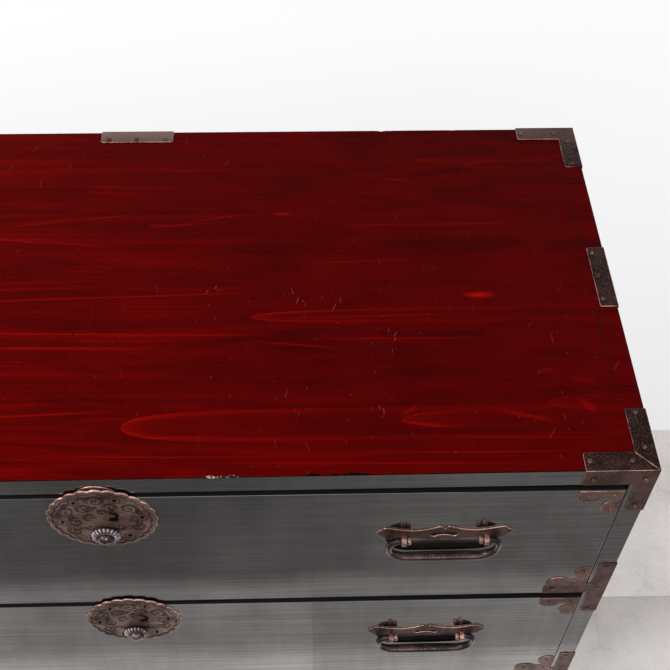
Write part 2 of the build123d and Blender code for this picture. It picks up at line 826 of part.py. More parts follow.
for number in range(drawer_count):
    name = f"drawer_{number + 1}"
    opening_top = opening_tops[number]
    bottom = opening_floors[number] + drawer_bottom_gap
    top_left = opening_top - top_gaps_left[number]
    top_right = opening_top - top_gaps_right[number]
    wall_top = opening_top - wall_drop
    lock_z = opening_top - lock_drop
    handle_z = opening_top - (first_handle_drop if number == 0 else handle_drop)
    handles = [(s * handle_spacing / 2, handle_z) for s in (-1, 1)]
    handle_bases = [front_plane(x, z, face_y) for x, z in handles]

    save(drawer_front(bottom, top_left, top_right, wall_top, lock_z, handles), f"{name}_front")
    save_group(drawer_walls(bottom + drawer_bottom_thickness, wall_top), f"{name}_walls")
    save(drawer_bottom(bottom), f"{name}_bottom")

    irons = []
    iron_edge = drawer_half_width - drawer_iron_inset
    for side, top in ((-1, top_left), (1, top_right)):
        irons += drawer_corner_iron(side * iron_edge, top - drawer_iron_inset, side, 1)
        irons += drawer_corner_iron(side * iron_edge, bottom + drawer_iron_inset, side, -1)
    save_group(irons, f"{name}_corner_irons")

    save_group(lock_plate(lock_z), f"{name}_lock_plate")
    save(lock_button(lock_z), f"{name}_lock_button")
    bolt_top = (top_left + top_right) / 2 - bolt_recess
    save(lock_bolt(lock_z, bolt_top), f"{name}_lock_bolt")

    save_group([handle_plate(base) for base in handle_bases], f"{name}_handle_plates")
    posts = [post for base in handle_bases for post in handle_posts(base, front_thickness)]
    save_group(posts, f"{name}_handle_posts")
    save(handle_bail(handle_bases[0]), f"{name}_left_bail")
    save(handle_bail(handle_bases[1]), f"{name}_right_bail")
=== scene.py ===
import bmesh
import bpy
import json
import math
import random
from mathutils import Matrix, Vector, kdtree

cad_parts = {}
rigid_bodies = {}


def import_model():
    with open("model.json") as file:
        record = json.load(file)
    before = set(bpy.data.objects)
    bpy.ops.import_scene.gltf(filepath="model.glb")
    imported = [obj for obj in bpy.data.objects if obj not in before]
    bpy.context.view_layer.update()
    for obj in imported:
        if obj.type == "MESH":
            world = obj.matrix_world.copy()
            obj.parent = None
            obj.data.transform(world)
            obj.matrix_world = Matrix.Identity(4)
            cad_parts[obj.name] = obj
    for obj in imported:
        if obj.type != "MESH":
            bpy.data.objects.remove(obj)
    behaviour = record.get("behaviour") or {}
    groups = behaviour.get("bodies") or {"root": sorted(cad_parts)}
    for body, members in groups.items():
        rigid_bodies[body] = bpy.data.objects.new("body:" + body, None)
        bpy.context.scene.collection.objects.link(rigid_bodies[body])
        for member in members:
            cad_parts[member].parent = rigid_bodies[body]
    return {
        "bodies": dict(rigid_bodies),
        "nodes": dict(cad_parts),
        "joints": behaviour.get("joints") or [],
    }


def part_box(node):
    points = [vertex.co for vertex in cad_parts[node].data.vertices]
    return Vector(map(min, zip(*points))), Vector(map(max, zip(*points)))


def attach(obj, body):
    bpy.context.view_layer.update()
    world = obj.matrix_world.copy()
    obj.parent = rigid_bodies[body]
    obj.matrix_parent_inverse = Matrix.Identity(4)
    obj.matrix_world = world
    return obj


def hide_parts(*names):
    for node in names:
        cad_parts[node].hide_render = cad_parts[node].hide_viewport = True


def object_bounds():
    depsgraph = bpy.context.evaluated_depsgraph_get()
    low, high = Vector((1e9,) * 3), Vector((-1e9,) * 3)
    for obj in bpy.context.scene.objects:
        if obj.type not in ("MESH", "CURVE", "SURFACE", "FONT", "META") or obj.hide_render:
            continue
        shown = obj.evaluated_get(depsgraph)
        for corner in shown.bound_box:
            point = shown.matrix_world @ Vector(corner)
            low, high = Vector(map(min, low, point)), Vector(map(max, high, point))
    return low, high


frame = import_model()
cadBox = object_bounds()
cadNodes = frame["nodes"]
drawerNames = sorted(name for name in frame["bodies"] if name[-1].isdigit())
print("frame loaded,", len(cadNodes), "nodes")


def feed(node, inputs):
    # links the sockets and sets the plain values
    for key, value in inputs.items():
        value = value.socket if isinstance(value, Field) else value
        if isinstance(value, bpy.types.NodeSocket):
            node.id_data.links.new(value, node.inputs[key])
        else:
            node.inputs[key].default_value = value


def addNode(tree, kind, inputs=None, **settings):
    made = tree.nodes.new(kind)
    for name, value in settings.items():
        setattr(made, name, value)
    feed(made, inputs or {})
    return made


class Field:
    # a socket whose sums are written as plain sums, each one a math node
    def __init__(self, socket):
        self.socket = socket
        self.tree = socket.id_data
        self.isVector = socket.type in ("VECTOR", "RGBA")

    def calc(self, operation, *others):
        kind = "ShaderNodeVectorMath" if self.isVector else "ShaderNodeMath"
        made = addNode(self.tree, kind, dict(enumerate((self, *others))), operation=operation)
        return Field(made.outputs["Value" if operation == "LENGTH" else 0])

    def __add__(self, other):
        return self.calc("ADD", other)

    def __sub__(self, other):
        return self.calc("SUBTRACT", other)

    def __mul__(self, other):
        return self.calc("MULTIPLY", other)

    def __truediv__(self, other):
        return self.calc("DIVIDE", other)

    def __abs__(self):
        return self.calc("ABSOLUTE")

    def scaled(self, factor):
        made = addNode(self.tree, "ShaderNodeVectorMath", {0: self, 3: factor}, operation="SCALE")
        return Field(made.outputs[0])

    def parts(self):
        return [Field(socket) for socket in addNode(self.tree, "ShaderNodeSeparateXYZ", {0: self}).outputs]

    def turnedBy(self, angle):
        inputs = {"Vector": self, "Angle": angle}
        return Field(addNode(self.tree, "ShaderNodeVectorRotate", inputs, rotation_type="Z_AXIS").outputs[0])

    def spread(self, low, high, toLow=0.0, toHigh=1.0, how="SMOOTHSTEP"):
        inputs = {"Value": self, "From Min": low, "From Max": high, "To Min": toLow, "To Max": toHigh}
        return Field(addNode(self.tree, "ShaderNodeMapRange", inputs, interpolation_type=how).outputs[0])


def noise(place, scale=1.0, detail=2.0, output=0, **others):
    inputs = {"Vector": place, "Scale": scale, "Detail": detail, **others}
    return Field(addNode(place.tree, "ShaderNodeTexNoise", inputs).outputs[output])


def blend(factor, first, second):
    made = addNode(factor.tree, "ShaderNodeMix", {0: factor, 6: first, 7: second}, data_type="RGBA")
    return Field(made.outputs[2])


def bumped(height, strength, distance):
    inputs = {"Height": height, "Strength": strength, "Distance": distance}
    return Field(addNode(height.tree, "ShaderNodeBump", inputs).outputs[0])


def colour(red, green, blue):
    # a colour written as it looks on screen, turned to the linear values a shader takes
    parts = [c / 255 for c in (red, green, blue)]
    return [c / 12.92 if c < 0.04 else ((c + 0.055) / 1.055) ** 2.4 for c in parts] + [1.0]


def shaderGroup(name, inputs, outputs, build):
    # an input is a number with its usual value, or a vector where that is None
    tree = bpy.data.node_groups.new(name, "ShaderNodeTree")
    for label, usual in inputs.items():
        kind = "NodeSocketVector" if usual is None else "NodeSocketFloat"
        socket = tree.interface.new_socket(label, in_out="INPUT", socket_type=kind)
        if usual is not None:
            socket.default_value = usual
    for label in outputs:
        tree.interface.new_socket(label, in_out="OUTPUT", socket_type="NodeSocketFloat")
    given = tree.nodes.new("NodeGroupInput").outputs
    made = build(*[Field(given[label]) for label in inputs])
    feed(tree.nodes.new("NodeGroupOutput"), dict(zip(outputs, made)))
    return tree


def useGroup(group, inputs):
    made = addNode(inputs["Vector"].tree, "ShaderNodeGroup", inputs, node_tree=group)
    return {socket.name: Field(socket) for socket in made.outputs}


def newMaterial(name):
    material = bpy.data.materials.new(name)
    material.use_nodes = True
    tree = material.node_tree
    tree.nodes.clear()
    surface = addNode(tree, "ShaderNodeBsdfPrincipled")
    addNode(tree, "ShaderNodeOutputMaterial", {"Surface": surface.outputs[0]})
    return material, surface, Field(addNode(tree, "ShaderNodeTexCoord").outputs["Object"])


def plankGrain(place, spacing, waviness, seed):
    # streaks of a plank whose length runs along X: broad uneven rings and fine fibres
    x, y, z = place.parts()
    across = y + z + (noise(place * (1.6, 6.0, 6.0)) - 0.5) * waviness
    inputs = {"W": across / spacing + seed, "Scale": 1.0, "Detail": 4.0}
    rings = Field(addNode(place.tree, "ShaderNodeTexNoise", inputs, noise_dimensions="1D").outputs[0])
    fine = noise(place * (14.0, 900.0, 900.0), 1.0, 3.0)
    return rings.spread(0.28, 0.72), fine.spread(0.3, 0.7)


def grainFlame(place, tip, halfWidth, reach, fade):
    # one flame of a plank's figure: a long U that opens along X from its tip, with a glow inside the tip
    x, y, z = (place - tip).parts()
    back = x.calc("MAXIMUM", 0.0001) * -1.0
    opening = (back / reach).calc("EXPONENT") * -1.0 + 1.0
    ratio = abs(y) / (opening.calc("SQRT") * halfWidth)
    inside = ratio.spread(1.12, 0.98) * x.spread(0.0, 0.001)
    line = inside * ratio.spread(0.55, 0.97) * (back / fade).calc("EXPONENT")
    return line, inside * (back / (reach * 0.5)).calc("EXPONENT")


def shortMarks(place, density, halfLength, halfWidth, share):
    # short straight marks: one in some of the cells, each turned its own way
    flat = place * (1.0, 1.0, 0.0)
    inputs = {"Vector": flat, "Scale": density, "Randomness": 1.0}
    cells = addNode(place.tree, "ShaderNodeTexVoronoi", inputs).outputs
    turn, longer, chance = Field(cells["Color"]).parts()
    x, y, z = (flat - Field(cells["Position"])).turnedBy(turn * 1.1 + 1.1).parts()
    near = abs(y).calc("LESS_THAN", halfWidth)
    within = abs(x).calc("LESS_THAN", (longer + 0.3) * halfLength)
    return [near * within * chance.calc("LESS_THAN", share)]


def oldIron(place, blotch, speckle):
    # soft blotches, fine speckle and shallow hammer marks
    grit = noise(place, speckle)
    height = grit * 0.35 + noise(place, 260.0, 3.0)
    return noise(place, blotch, 4.0).spread(0.35, 0.66), grit.spread(0.5, 0.72), height


grainGroup = shaderGroup(
    "plankGrain",
    {"Vector": None, "Spacing": 0.006, "Waviness": 0.02, "Seed": 0.0},
    ("Rings", "Fibres"),
    plankGrain,
)
flameGroup = shaderGroup(
    "grainFlame",
    {"Vector": None, "Tip": None, "Half Width": 0.02, "Reach": 0.06, "Fade": 0.3},
    ("Line", "Glow"),
    grainFlame,
)
markGroup = shaderGroup(
    "shortMarks",
    {"Vector": None, "Density": 20.0, "Half Length": 0.004, "Half Width": 0.0002, "Share": 0.4},
    ("Mask",),
    shortMarks,
)
patinaGroup = shaderGroup(
    "patina",
    {"Vector": None, "Blotch": 60.0, "Speckle": 900.0},
    ("Tone", "Speckle", "Height"),
    oldIron,
)

redLook = {
    "deep": colour(50, 0, 0),
    "middle": colour(76, 0, 0),
    "bright": colour(104, 1, 0),
    "glow": colour(148, 8, 3),
    "knot": colour(40, 2, 2),
    "scratch": colour(124, 80, 78),
    # what changes along x or y: from, to, value there
    "grainStrength": (-0.05, 0.25, 0.26, 0.13),
    # painted light and shade in the tone: darker to the right and towards the back, paler at the front
    "paintedShadeRight": (-0.2, 0.3, 0.0, -0.26),
    "paintedLightFront": (-0.15, -0.21, 0.0, 0.16),
    "paintedShadeBack": (0.0, 0.08, 0.0, -0.05),
    # flames of the figure: tip x, tip y, half width, reach, fade, all in metres, and strength
    "flames": (
        (0.018, -0.1605, 0.0155, 0.036, 0.15, 0.62),
        (0.122, -0.0435, 0.0085, 0.06, 0.16, 0.5),
        (-0.14, 0.068, 0.021, 0.12, 0.3, 0.16),
        (0.022, 0.0733, 0.003, 0.03, 0.05, 0.4),
        (0.2495, -0.157, 0.012, 0.06, 0.06, 0.3),
        (0.2845, 0.163, 0.004, 0.03, 0.05, 0.35),
        (0.3345, 0.155, 0.006, 0.02, 0.05, 0.3),
        (0.375, -0.142, 0.009, 0.03, 0.04, 0.2),
        (-0.3, -0.09, 0.013, 0.06, 0.16, 0.4),
        (-0.33, 0.12, 0.017, 0.08, 0.2, 0.3),
    ),
    # bright spots: x, y, half length, half width, strength
    "spots": (
        (0.33, -0.0204, 0.018, 0.0052, 1.0),
        (0.15, 0.0875, 0.012, 0.0026, 0.6),
        (0.2635, 0.1346, 0.017, 0.0019, 0.4),
        (-0.24, 0.03, 0.02, 0.002, 0.5),
    ),
    "knotPlace": (0.1425, 0.06, 0.009, 0.01),
    "darkPatch": (0.27, 0.047, 0.06, 0.009),
    # small marks: cell, half length, half width, and the share of the cells that have one
    "scratches": (0.034, 0.0045, 0.0002, 0.5),
    "closeScratches": (0.0105, 0.0038, 0.0002, 0.7),
    "dots": (0.021, 0.0008, 0.0005, 0.4),
    "holes": (0.057, 0.0016, 0.0008, 0.35),
    # where the close scratches are: x, y, size
    "nicks": (
        (0.166, -0.02, 0.02),
        (0.196, -0.028, 0.014),
        (0.243, -0.072, 0.022),
        (0.166, -0.134, 0.02),
        (0.0845, -0.008, 0.012),
        (0.232, -0.148, 0.01),
        (-0.21, -0.06, 0.02),
        (-0.33, 0.03, 0.016),
    ),
    # long bright lines: middle x, middle y, half length, half width, slope, strength
    "lines": (
        (-0.084, 0.077, 0.041, 0.0009, 0.14, 0.5),
        (-0.02, 0.085, 0.032, 0.0008, 0.11, 0.45),
        (-0.11, 0.056, 0.052, 0.001, -0.13, 0.5),
        (-0.05, 0.05, 0.044, 0.0008, -0.1, 0.4),
        (0.048, 0.073, 0.032, 0.0009, 0.1, 0.5),
        (0.09, 0.083, 0.033, 0.0008, 0.17, 0.4),
        (-0.081, -0.02, 0.087, 0.001, 0.04, 0.5),
        (0.036, -0.017, 0.099, 0.0009, 0.03, 0.45),
        (-0.058, -0.06, 0.106, 0.001, -0.02, 0.55),
        (0.057, -0.063, 0.116, 0.0008, -0.02, 0.4),
        (-0.051, -0.076, 0.11, 0.0012, -0.02, 0.5),
        (-0.071, 0.001, 0.083, 0.0007, 0.02, 0.3),
        (-0.079, -0.007, 0.072, 0.0007, 0.01, 0.3),
        (-0.057, -0.147, 0.085, 0.0011, 0.04, 0.5),
        (0.164, -0.076, 0.053, 0.0009, -0.12, 0.35),
        (0.259, -0.07, 0.096, 0.0009, -0.01, 0.35),
        (0.234, -0.044, 0.098, 0.0008, 0.02, 0.35),
        (0.223, 0.023, 0.065, 0.0008, 0.02, 0.3),
        (0.298, 0.071, 0.117, 0.0008, 0.0, 0.3),
        (0.093, 0.151, 0.121, 0.0008, 0.0, 0.3),
        (0.355, -0.155, 0.03, 0.002, -0.27, 0.42),
        (0.377, -0.108, 0.011, 0.0022, 0.31, 0.22),
        (0.408, -0.146, 0.009, 0.0042, -0.78, 0.38),
        (0.27, -0.162, 0.027, 0.0016, -0.17, 0.35),
        (0.257, -0.148, 0.009, 0.0024, 0.56, 0.35),
        (0.41, -0.119, 0.014, 0.0026, -0.23, 0.22),
        (0.338, -0.176, 0.085, 0.0009, -0.03, 0.35),
        (0.307, -0.19, 0.107, 0.0009, -0.01, 0.35),
        (0.23, -0.199, 0.167, 0.0008, -0.02, 0.35),
        (0.053, -0.19, 0.129, 0.0008, -0.02, 0.35),
        (-0.25, -0.12, 0.14, 0.0009, 0.02, 0.4),
        (-0.28, 0.09, 0.13, 0.0008, -0.02, 0.35),
    ),
}


def spotMask(place, x, y, halfLength, halfWidth, soft):
    away = (place - (x, y, 0.0)) * (1 / halfLength, 1 / halfWidth, 0.0)
    return away.calc("LENGTH").spread(1.0, soft)


def lineMask(place, x, y, halfLength, halfWidth, slope):
    # a long thin line that fades towards both ends
    along, across, z = (place - (x, y, 0.0)).parts()
    thin = abs(along * -slope + across).spread(halfWidth * 1.6, halfWidth * 0.3)
    return thin * abs(along).spread(halfLength, halfLength * 0.2)


def markMask(place, kind):
    cell, halfLength, halfWidth, share = redLook[kind]
    sizes = {"Density": 1 / cell, "Half Length": halfLength, "Half Width": halfWidth, "Share": share}
    return useGroup(markGroup, {"Vector": place, **sizes})["Mask"]


def makeRedLacquer():
    # clear red lacquer over a softwood plank, with painted light and shade: paler towards the front edge and
    # the left end, darker towards the right end and the back
    look = redLook
    material, surface, place = newMaterial("redLacquer")
    x, y, z = place.parts()
    fine = useGroup(grainGroup, {"Vector": place, "Spacing": 0.0017, "Waviness": 0.03, "Seed": 3.0})
    broad = useGroup(grainGroup, {"Vector": place, "Spacing": 0.009, "Waviness": 0.11, "Seed": 11.0})
    cloud = noise(place, 5.0)
    blotch = noise(place * (9.0, 42.0, 1.0), 1.0, 3.0, Distortion=0.8)
    tone = (fine["Rings"] + broad["Rings"] - 1.0) * x.spread(*look["grainStrength"])
    tone += fine["Fibres"] * 0.1 + blotch.spread(0.3, 0.7) * 0.3 + cloud * 0.4 + 0.22
    # painted light and shade across the top: darker to the right and the back, paler at the front
    tone += x.spread(*look["paintedShadeRight"]) + y.spread(*look["paintedLightFront"]) + y.spread(*look["paintedShadeBack"])
    paint = blend(tone.spread(-0.05, 0.5), look["deep"], look["middle"])
    paint = blend(tone.spread(0.45, 1.05), paint, look["bright"])
    for tipX, tipY, halfWidth, reach, fade, strength in look["flames"]:
        sizes = {"Half Width": halfWidth, "Reach": reach, "Fade": fade}
        flame = useGroup(flameGroup, {"Vector": place, "Tip": (tipX, tipY, 0.0), **sizes})
        amount = (flame["Line"] * 0.8 + flame["Glow"] * 0.75) * (fine["Rings"] * 0.7 + 0.5) * strength
        paint = blend(amount.calc("MINIMUM", 1.0), paint, look["glow"])
    for *line, strength in look["lines"]:
        paint = blend(lineMask(place, *line) * (strength * 0.8), paint, look["glow"])
    for *spot, strength in look["spots"]:
        paint = blend(spotMask(place, *spot, 0.0) * strength, paint, look["glow"])
    paint = blend(spotMask(place, *look["knotPlace"], 0.0) * 0.35, paint, look["knot"])
    paint = blend(spotMask(place, *look["darkPatch"], 0.2) * 0.6, paint, look["deep"])
    scratches = markMask(place, "scratches")
    close = markMask(place, "closeScratches")
    mark = scratches * cloud.spread(0.46, 0.6, 0.08, 0.32)
    for x, y, size in look["nicks"]:
        mark = mark.calc("MAXIMUM", spotMask(place, x, y, size, size * 0.8, 0.4) * close * 0.8)
    paint = blend(mark, paint, look["scratch"])
    paint = blend(markMask(place, "dots") * 0.2, paint, look["scratch"])
    feed(surface, {
        "Base Color": blend(markMask(place, "holes") * 0.7, paint, look["knot"]),
        "Roughness": scratches * 0.3 + fine["Fibres"] * 0.08 + 0.28,
        "Specular IOR Level": 0.015,
        "Normal": bumped(fine["Rings"], 0.06, 0.0004),
    })
    return material


blackLook = {
    "base": colour(10, 10, 11),
    "thin": colour(17, 16, 16),
    # brush rows, slower waves, fine strokes and upright bands: how tightly each is packed along x, y and z
    "rows": (5.0, 5.0, 560.0),
    "waves": (3.0, 3.0, 14.0),
    "strokes": (7.0, 7.0, 900.0),
    "bands": (130.0, 130.0, 3.0),
    "lean": 0.02,
}


def makeBlackLacquer():
    # mirror-gloss black lacquer, brushed in level rows that each lean a little their own way
    look = blackLook
    material, surface, place = newMaterial("blackLacquer")
    rows = noise(place * look["rows"], output=1)
    waves = noise(place * look["waves"], detail=1.0, output=1)
    lean = (rows + waves - (1.0, 1.0, 1.0)) * (1.0, 1.0, 0.35)
    normal = Field(addNode(place.tree, "ShaderNodeNewGeometry").outputs["Normal"])
    haze = noise(place, 9.0, 3.0)
    tone = noise(place * look["bands"]) * 0.17 + noise(place * look["strokes"], detail=4.0) * 0.83
    tone += haze * 0.35
    feed(surface, {
        "Base Color": blend(tone.spread(0.5, 0.86), look["base"], look["thin"]),
        "Roughness": haze.spread(0.2, 0.8, 0.035, 0.07),
        "IOR": 2.05,
        "Coat Weight": tone.spread(0.46, 0.88, 0.1, 1.0),
        "Coat Roughness": 0.03,
        "Coat IOR": 1.65,
        "Normal": (normal + lean.scaled(look["lean"])).calc("NORMALIZE"),
    })
    return material


def makeRubbedEdge(name, dark, pale, grain=70.0):
    # lacquer rubbed thin along a board's edge, or broken off it
    material, surface, place = newMaterial(name)
    worn = noise(place, grain, 5.0)
    feed(surface, {
        "Base Color": blend(worn.spread(0.5, 0.68), colour(*dark), colour(*pale)),
        "Roughness": worn.spread(0.3, 0.7, 0.4, 0.65),
        "Specular IOR Level": 0.02,
    })
    return material


# stained and painted near black in front of and above these places, with a ragged border: partly dark stain
# on the edges, partly painted shade in the gaps between drawers, rails, sides and top
woodLook = {"stainAndShade": colour(5, 3, 3), "front": (-0.184, -0.188), "top": (0.812, 0.82), "ragged": 0.012}


def makePlainWood(name, along, dark, pale, stainedAndShaded=False):
    # planed softwood; along is the turn that lays the grain down the board
    look = woodLook
    material, surface, place = newMaterial(name)
    dark, pale = colour(*dark), colour(*pale)
    inputs = {"Vector": place.turnedBy(along), "Spacing": 0.007, "Waviness": 0.06, "Seed": 5.0}
    grain = useGroup(grainGroup, inputs)
    tone = grain["Rings"] * 0.7 + grain["Fibres"] * 0.3
    stainAndShade = noise(place, 4.0, 4.0)
    paint = blend(stainAndShade.spread(0.5, 0.75, 0.0, 0.35), blend(tone, dark, pale), dark)
    if stainedAndShaded:
        x, y, z = place.parts()
        # near the front and under the top the bare wood turns near black: partly dark stain, partly painted
        # shade in the gaps
        front = (stainAndShade * look["ragged"] + y).spread(*look["front"])
        paint = blend(front.calc("MAXIMUM", z.spread(*look["top"])), paint, look["stainAndShade"])
    feed(surface, {
        "Base Color": paint,
        "Roughness": tone.spread(0.0, 1.0, 0.75, 0.6),
        "Specular IOR Level": 0.25,
        "Normal": bumped(tone, 0.25, 0.0005),
    })
    return material


def makeIron(name, dark, pale, bright, smooth, rough, specks=0.5, dents=0.35, grain=760.0, **others):
    # brown patinated iron; others may say how it changes towards the back, or the colour of its cut lines
    towardsBack, cuts = others.get("towardsBack"), others.get("cuts")
    material, surface, place = newMaterial(name)
    patina = useGroup(patinaGroup, {"Vector": place, "Blotch": 55.0, "Speckle": grain})
    paint = blend(patina["Tone"], colour(*dark), colour(*pale))
    if towardsBack:
        x, y, z = place.parts()
        # the specks' share rises towards the back, painted glints, and the bright colour spreads over the
        # middle at the back
        specks = y.spread(*towardsBack["specks"])
        amount = abs(x).spread(*towardsBack["middle"]) * y.spread(*towardsBack["back"])
        paint = blend(amount, paint, colour(*bright))
    paint = blend(patina["Speckle"] * specks, paint, colour(*bright))
    if cuts:
        carved = Field(addNode(place.tree, "ShaderNodeAttribute", attribute_name="carved").outputs["Fac"])
        paint = blend(carved.spread(0.0, 0.7), paint, colour(*cuts))
    feed(surface, {
        "Base Color": paint,
        "Metallic": 0.75,
        "Roughness": patina["Tone"].spread(0.0, 1.0, rough, smooth),
        "Specular IOR Level": 0.2,
        "Normal": bumped(patina["Height"], dents, 0.0003),
    })
    return material


redLacquer = makeRedLacquer()
blackLacquer = makeBlackLacquer()
redEdge = makeRubbedEdge("redLacquerEdge", (34, 4, 4), (62, 10, 8))
blackEdge = makeRubbedEdge("blackLacquerEdge", (16, 12, 12), (52, 36, 32))
darkChip = makeRubbedEdge("darkenedChip", (7, 4, 4), (30, 16, 15), 300.0)
chipWood = makeRubbedEdge("chippedWood", (40, 10, 8), (206, 176, 166), 420.0)
longWood = makePlainWood("plainWoodLong", 0.0, (140, 112, 82), (180, 151, 116))
deepWood = makePlainWood("plainWoodDeep", math.pi / 2, (136, 108, 78), (176, 147, 112))
stainedShadedLong = makePlainWood("stainedShadedWoodLong", 0.0, (136, 108, 80), (174, 145, 110), True)
stainedShadedDeep = makePlainWood("stainedShadedWoodDeep", math.pi / 2, (134, 106, 78), (172, 143, 108), True)

# how the top's irons change towards the back and the middle: from, to, value at each
topIronsBackward = {
    # more specks towards the back: painted glints
    "specks": (0.1, 0.2, 0.27, 0.45),
    "middle": (0.44, 0.3, 0.3, 1.0),
    "back": (0.172, 0.214, 0.0, 0.8),
}
fineSteel = {"specks": 0.4, "dents": 0.2}

# irons: darkest, palest and brightest colour, least and greatest roughness, and what else sets one apart
ironLooks = {
    "patinatedIron": ((55, 36, 33), (84, 59, 54), (130, 98, 90), 0.34, 0.48, {}),
    # a darker copy of the iron for level faces: painted shade, as the tops look darker than the upright
    # faces; its pits are real
    "pittedShadedIron": (
        (28, 14, 12), (50, 30, 27), (134, 106, 99), 0.3, 0.5,
        {"dents": 0.4, "grain": 540.0, "towardsBack": topIronsBackward},
    ),
    # bright copper edges: worn bright, and a painted highlight along each rounded edge
    "ironWornEdgeHighlight": ((84, 58, 52), (178, 138, 126), (222, 196, 186), 0.24, 0.38, {}),
    "drawerIron": ((72, 50, 46), (106, 80, 74), (150, 118, 108), 0.32, 0.46, {}),
    "engravedIron": ((82, 55, 49), (124, 96, 88), (172, 144, 134), 0.28, 0.42, {"cuts": (22, 12, 11)}),
    "nailIron": ((58, 38, 34), (98, 70, 63), (180, 128, 112), 0.22, 0.38, {}),
    # pale colour on rims and rounded edges of plates and posts: a painted highlight
    "engravedIronHighlight": ((130, 98, 90), (190, 154, 144), (236, 214, 206), 0.22, 0.34, {}),
    # pale copper on the eye posts and bail knobs: a painted highlight
    "postIronHighlight": ((92, 64, 58), (158, 118, 106), (226, 196, 186), 0.22, 0.36, {}),
    "bailIron": ((32, 24, 25), (68, 54, 54), (136, 116, 112), 0.12, 0.24, {"specks": 0.35, "dents": 0.14}),
    # near black: painted shade behind the keyhole and the handle slot, and on the lock's nail heads
    "paintedShadeIron": ((3, 2, 2), (7, 5, 5), (22, 17, 16), 0.5, 0.7, {}),
    "polishedBud": (
        (50, 28, 26), (118, 98, 98), (206, 200, 204), 0.05, 0.14,
        {"specks": 0.25, "dents": 0.08},
    ),
    "flutedSteel": ((50, 40, 40), (118, 108, 112), (210, 204, 208), 0.12, 0.26, fineSteel),
    "wornSteel": ((66, 54, 54), (118, 104, 104), (200, 188, 188), 0.12, 0.26, fineSteel),
}
irons = {name: makeIron(name, *look, **apart) for name, (*look, apart) in ironLooks.items()}
print("materials made")


def linked(name, data):
    made = bpy.data.objects.new(name, data)
    bpy.context.scene.collection.objects.link(made)
    return made


def meshOf(shape, name):
    mesh = bpy.data.meshes.new(name)
    shape.to_mesh(mesh)
    shape.free()
    return mesh


def addPiece(name, mesh, materials, body, replaced=()):
    chosen = [face.material_index for face in mesh.polygons]
    mesh.materials.clear()
    for material in materials:
        mesh.materials.append(material)
    mesh.polygons.foreach_set("material_index", chosen)
    piece = linked(name, mesh)
    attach(piece, body)
    if replaced:
        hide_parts(*replaced)


def bakedMesh(carrier, name):
    # the evaluated mesh of a helper object, which is then thrown away
    bpy.context.view_layer.update()
    depsgraph = bpy.context.evaluated_depsgraph_get()
    mesh = bpy.data.meshes.new_from_object(carrier.evaluated_get(depsgraph), depsgraph=depsgraph)
    mesh.name = name
    bpy.data.objects.remove(carrier)
    return mesh


def cutBy(mesh, name, cutters, **settings):
    # the mesh with other meshes cut out of it
    carrier = linked(name, mesh)
    helpers = [linked("cutter", cutter) for cutter in cutters]
    for helper in helpers:
        cut = carrier.modifiers.new("cut", "BOOLEAN")
        cut.object = helper
        for setting, value in settings.items():
            setattr(cut, setting, value)
    made = bakedMesh(carrier, name)
    for helper in helpers:
        bpy.data.objects.remove(helper)
    return made


def mergedCopy(nodeName):
    made = bmesh.new()
    made.from_mesh(cadNodes[nodeName].data)
    bmesh.ops.remove_doubles(made, verts=made.verts, dist=0.000005)
    return made


def looseParts(shape):
    # lists of vertices that hang together
    seen = set()
    parts = []
    for start in shape.verts:
        if start in seen:
            continue
        seen.add(start)
        part = [start]
        for vert in part:
            beside = [edge.other_vert(vert) for edge in vert.link_edges]
            fresh = [other for other in beside if other not in seen]
            seen.update(fresh)
            part += fresh
        parts.append(part)
    return parts


def partBox(part):
    low = Vector([min(v.co[i] for v in part) for i in range(3)])
    high = Vector([max(v.co[i] for v in part) for i in range(3)])
    return low, high


def withSlots(mesh, count):
    while len(mesh.materials) < count:
        mesh.materials.append(None)


edgeLook = {"segments": 2, "angle": math.radians(30), "shortest": 0.0003, "flat": math.radians(0.5)}


def softened(shape, name, width, curved=False):
    # a copy of a node with its flat faces joined and its edges rounded; rounded faces take slot 1
    look = edgeLook
    bmesh.ops.dissolve_limit(shape, angle_limit=look["flat"], verts=shape.verts, edges=shape.edges)
    weight = shape.edges.layers.float.new("bevel_weight_edge")
    for edge in shape.edges:
        if edge.calc_face_angle(0) > look["angle"] and edge.calc_length() > look["shortest"]:
            edge[weight] = 1.0
    mesh = meshOf(shape, name)
    withSlots(mesh, 2)
    carrier = linked(name, mesh)
    bevel = carrier.modifiers.new("rounded", "BEVEL")
    bevel.width = width
    bevel.segments = look["segments"]
    bevel.limit_method = "WEIGHT"
    bevel.material = 1
    made = bakedMesh(carrier, name)
    for face in made.polygons:
        face.use_smooth = curved or face.material_index == 1
    if curved:
        made.set_sharp_from_angle(angle=look["angle"])
    return made


def paintFaces(mesh, choose):
    # each face's material by its normal, centre and whether it is a rounded edge
    for face in mesh.polygons:
        face.material_index = choose(face.normal, face.center, face.material_index == 1)


def roundedPiece(nodeName, pieceName, body, slotName, materials, width, choose=None, curved=False):
    # a piece that keeps its node's shape, with rounded edges and its own materials
    mesh = softened(mergedCopy(nodeName), pieceName, width, curved)
    if choose:
        paintFaces(mesh, choose)
    addPiece(pieceName, mesh, materials, body, [nodeName])


def geometryTree(name, inputs):
    tree = bpy.data.node_groups.new(name, "GeometryNodeTree")
    for label, kind in {"Geometry": "Geometry", **inputs, "Material": "Material"}.items():
        tree.interface.new_socket(label, in_out="INPUT", socket_type="NodeSocket" + kind)
    tree.interface.new_socket("Geometry", in_out="OUTPUT", socket_type="NodeSocketGeometry")
    return tree, tree.nodes.new("NodeGroupInput").outputs


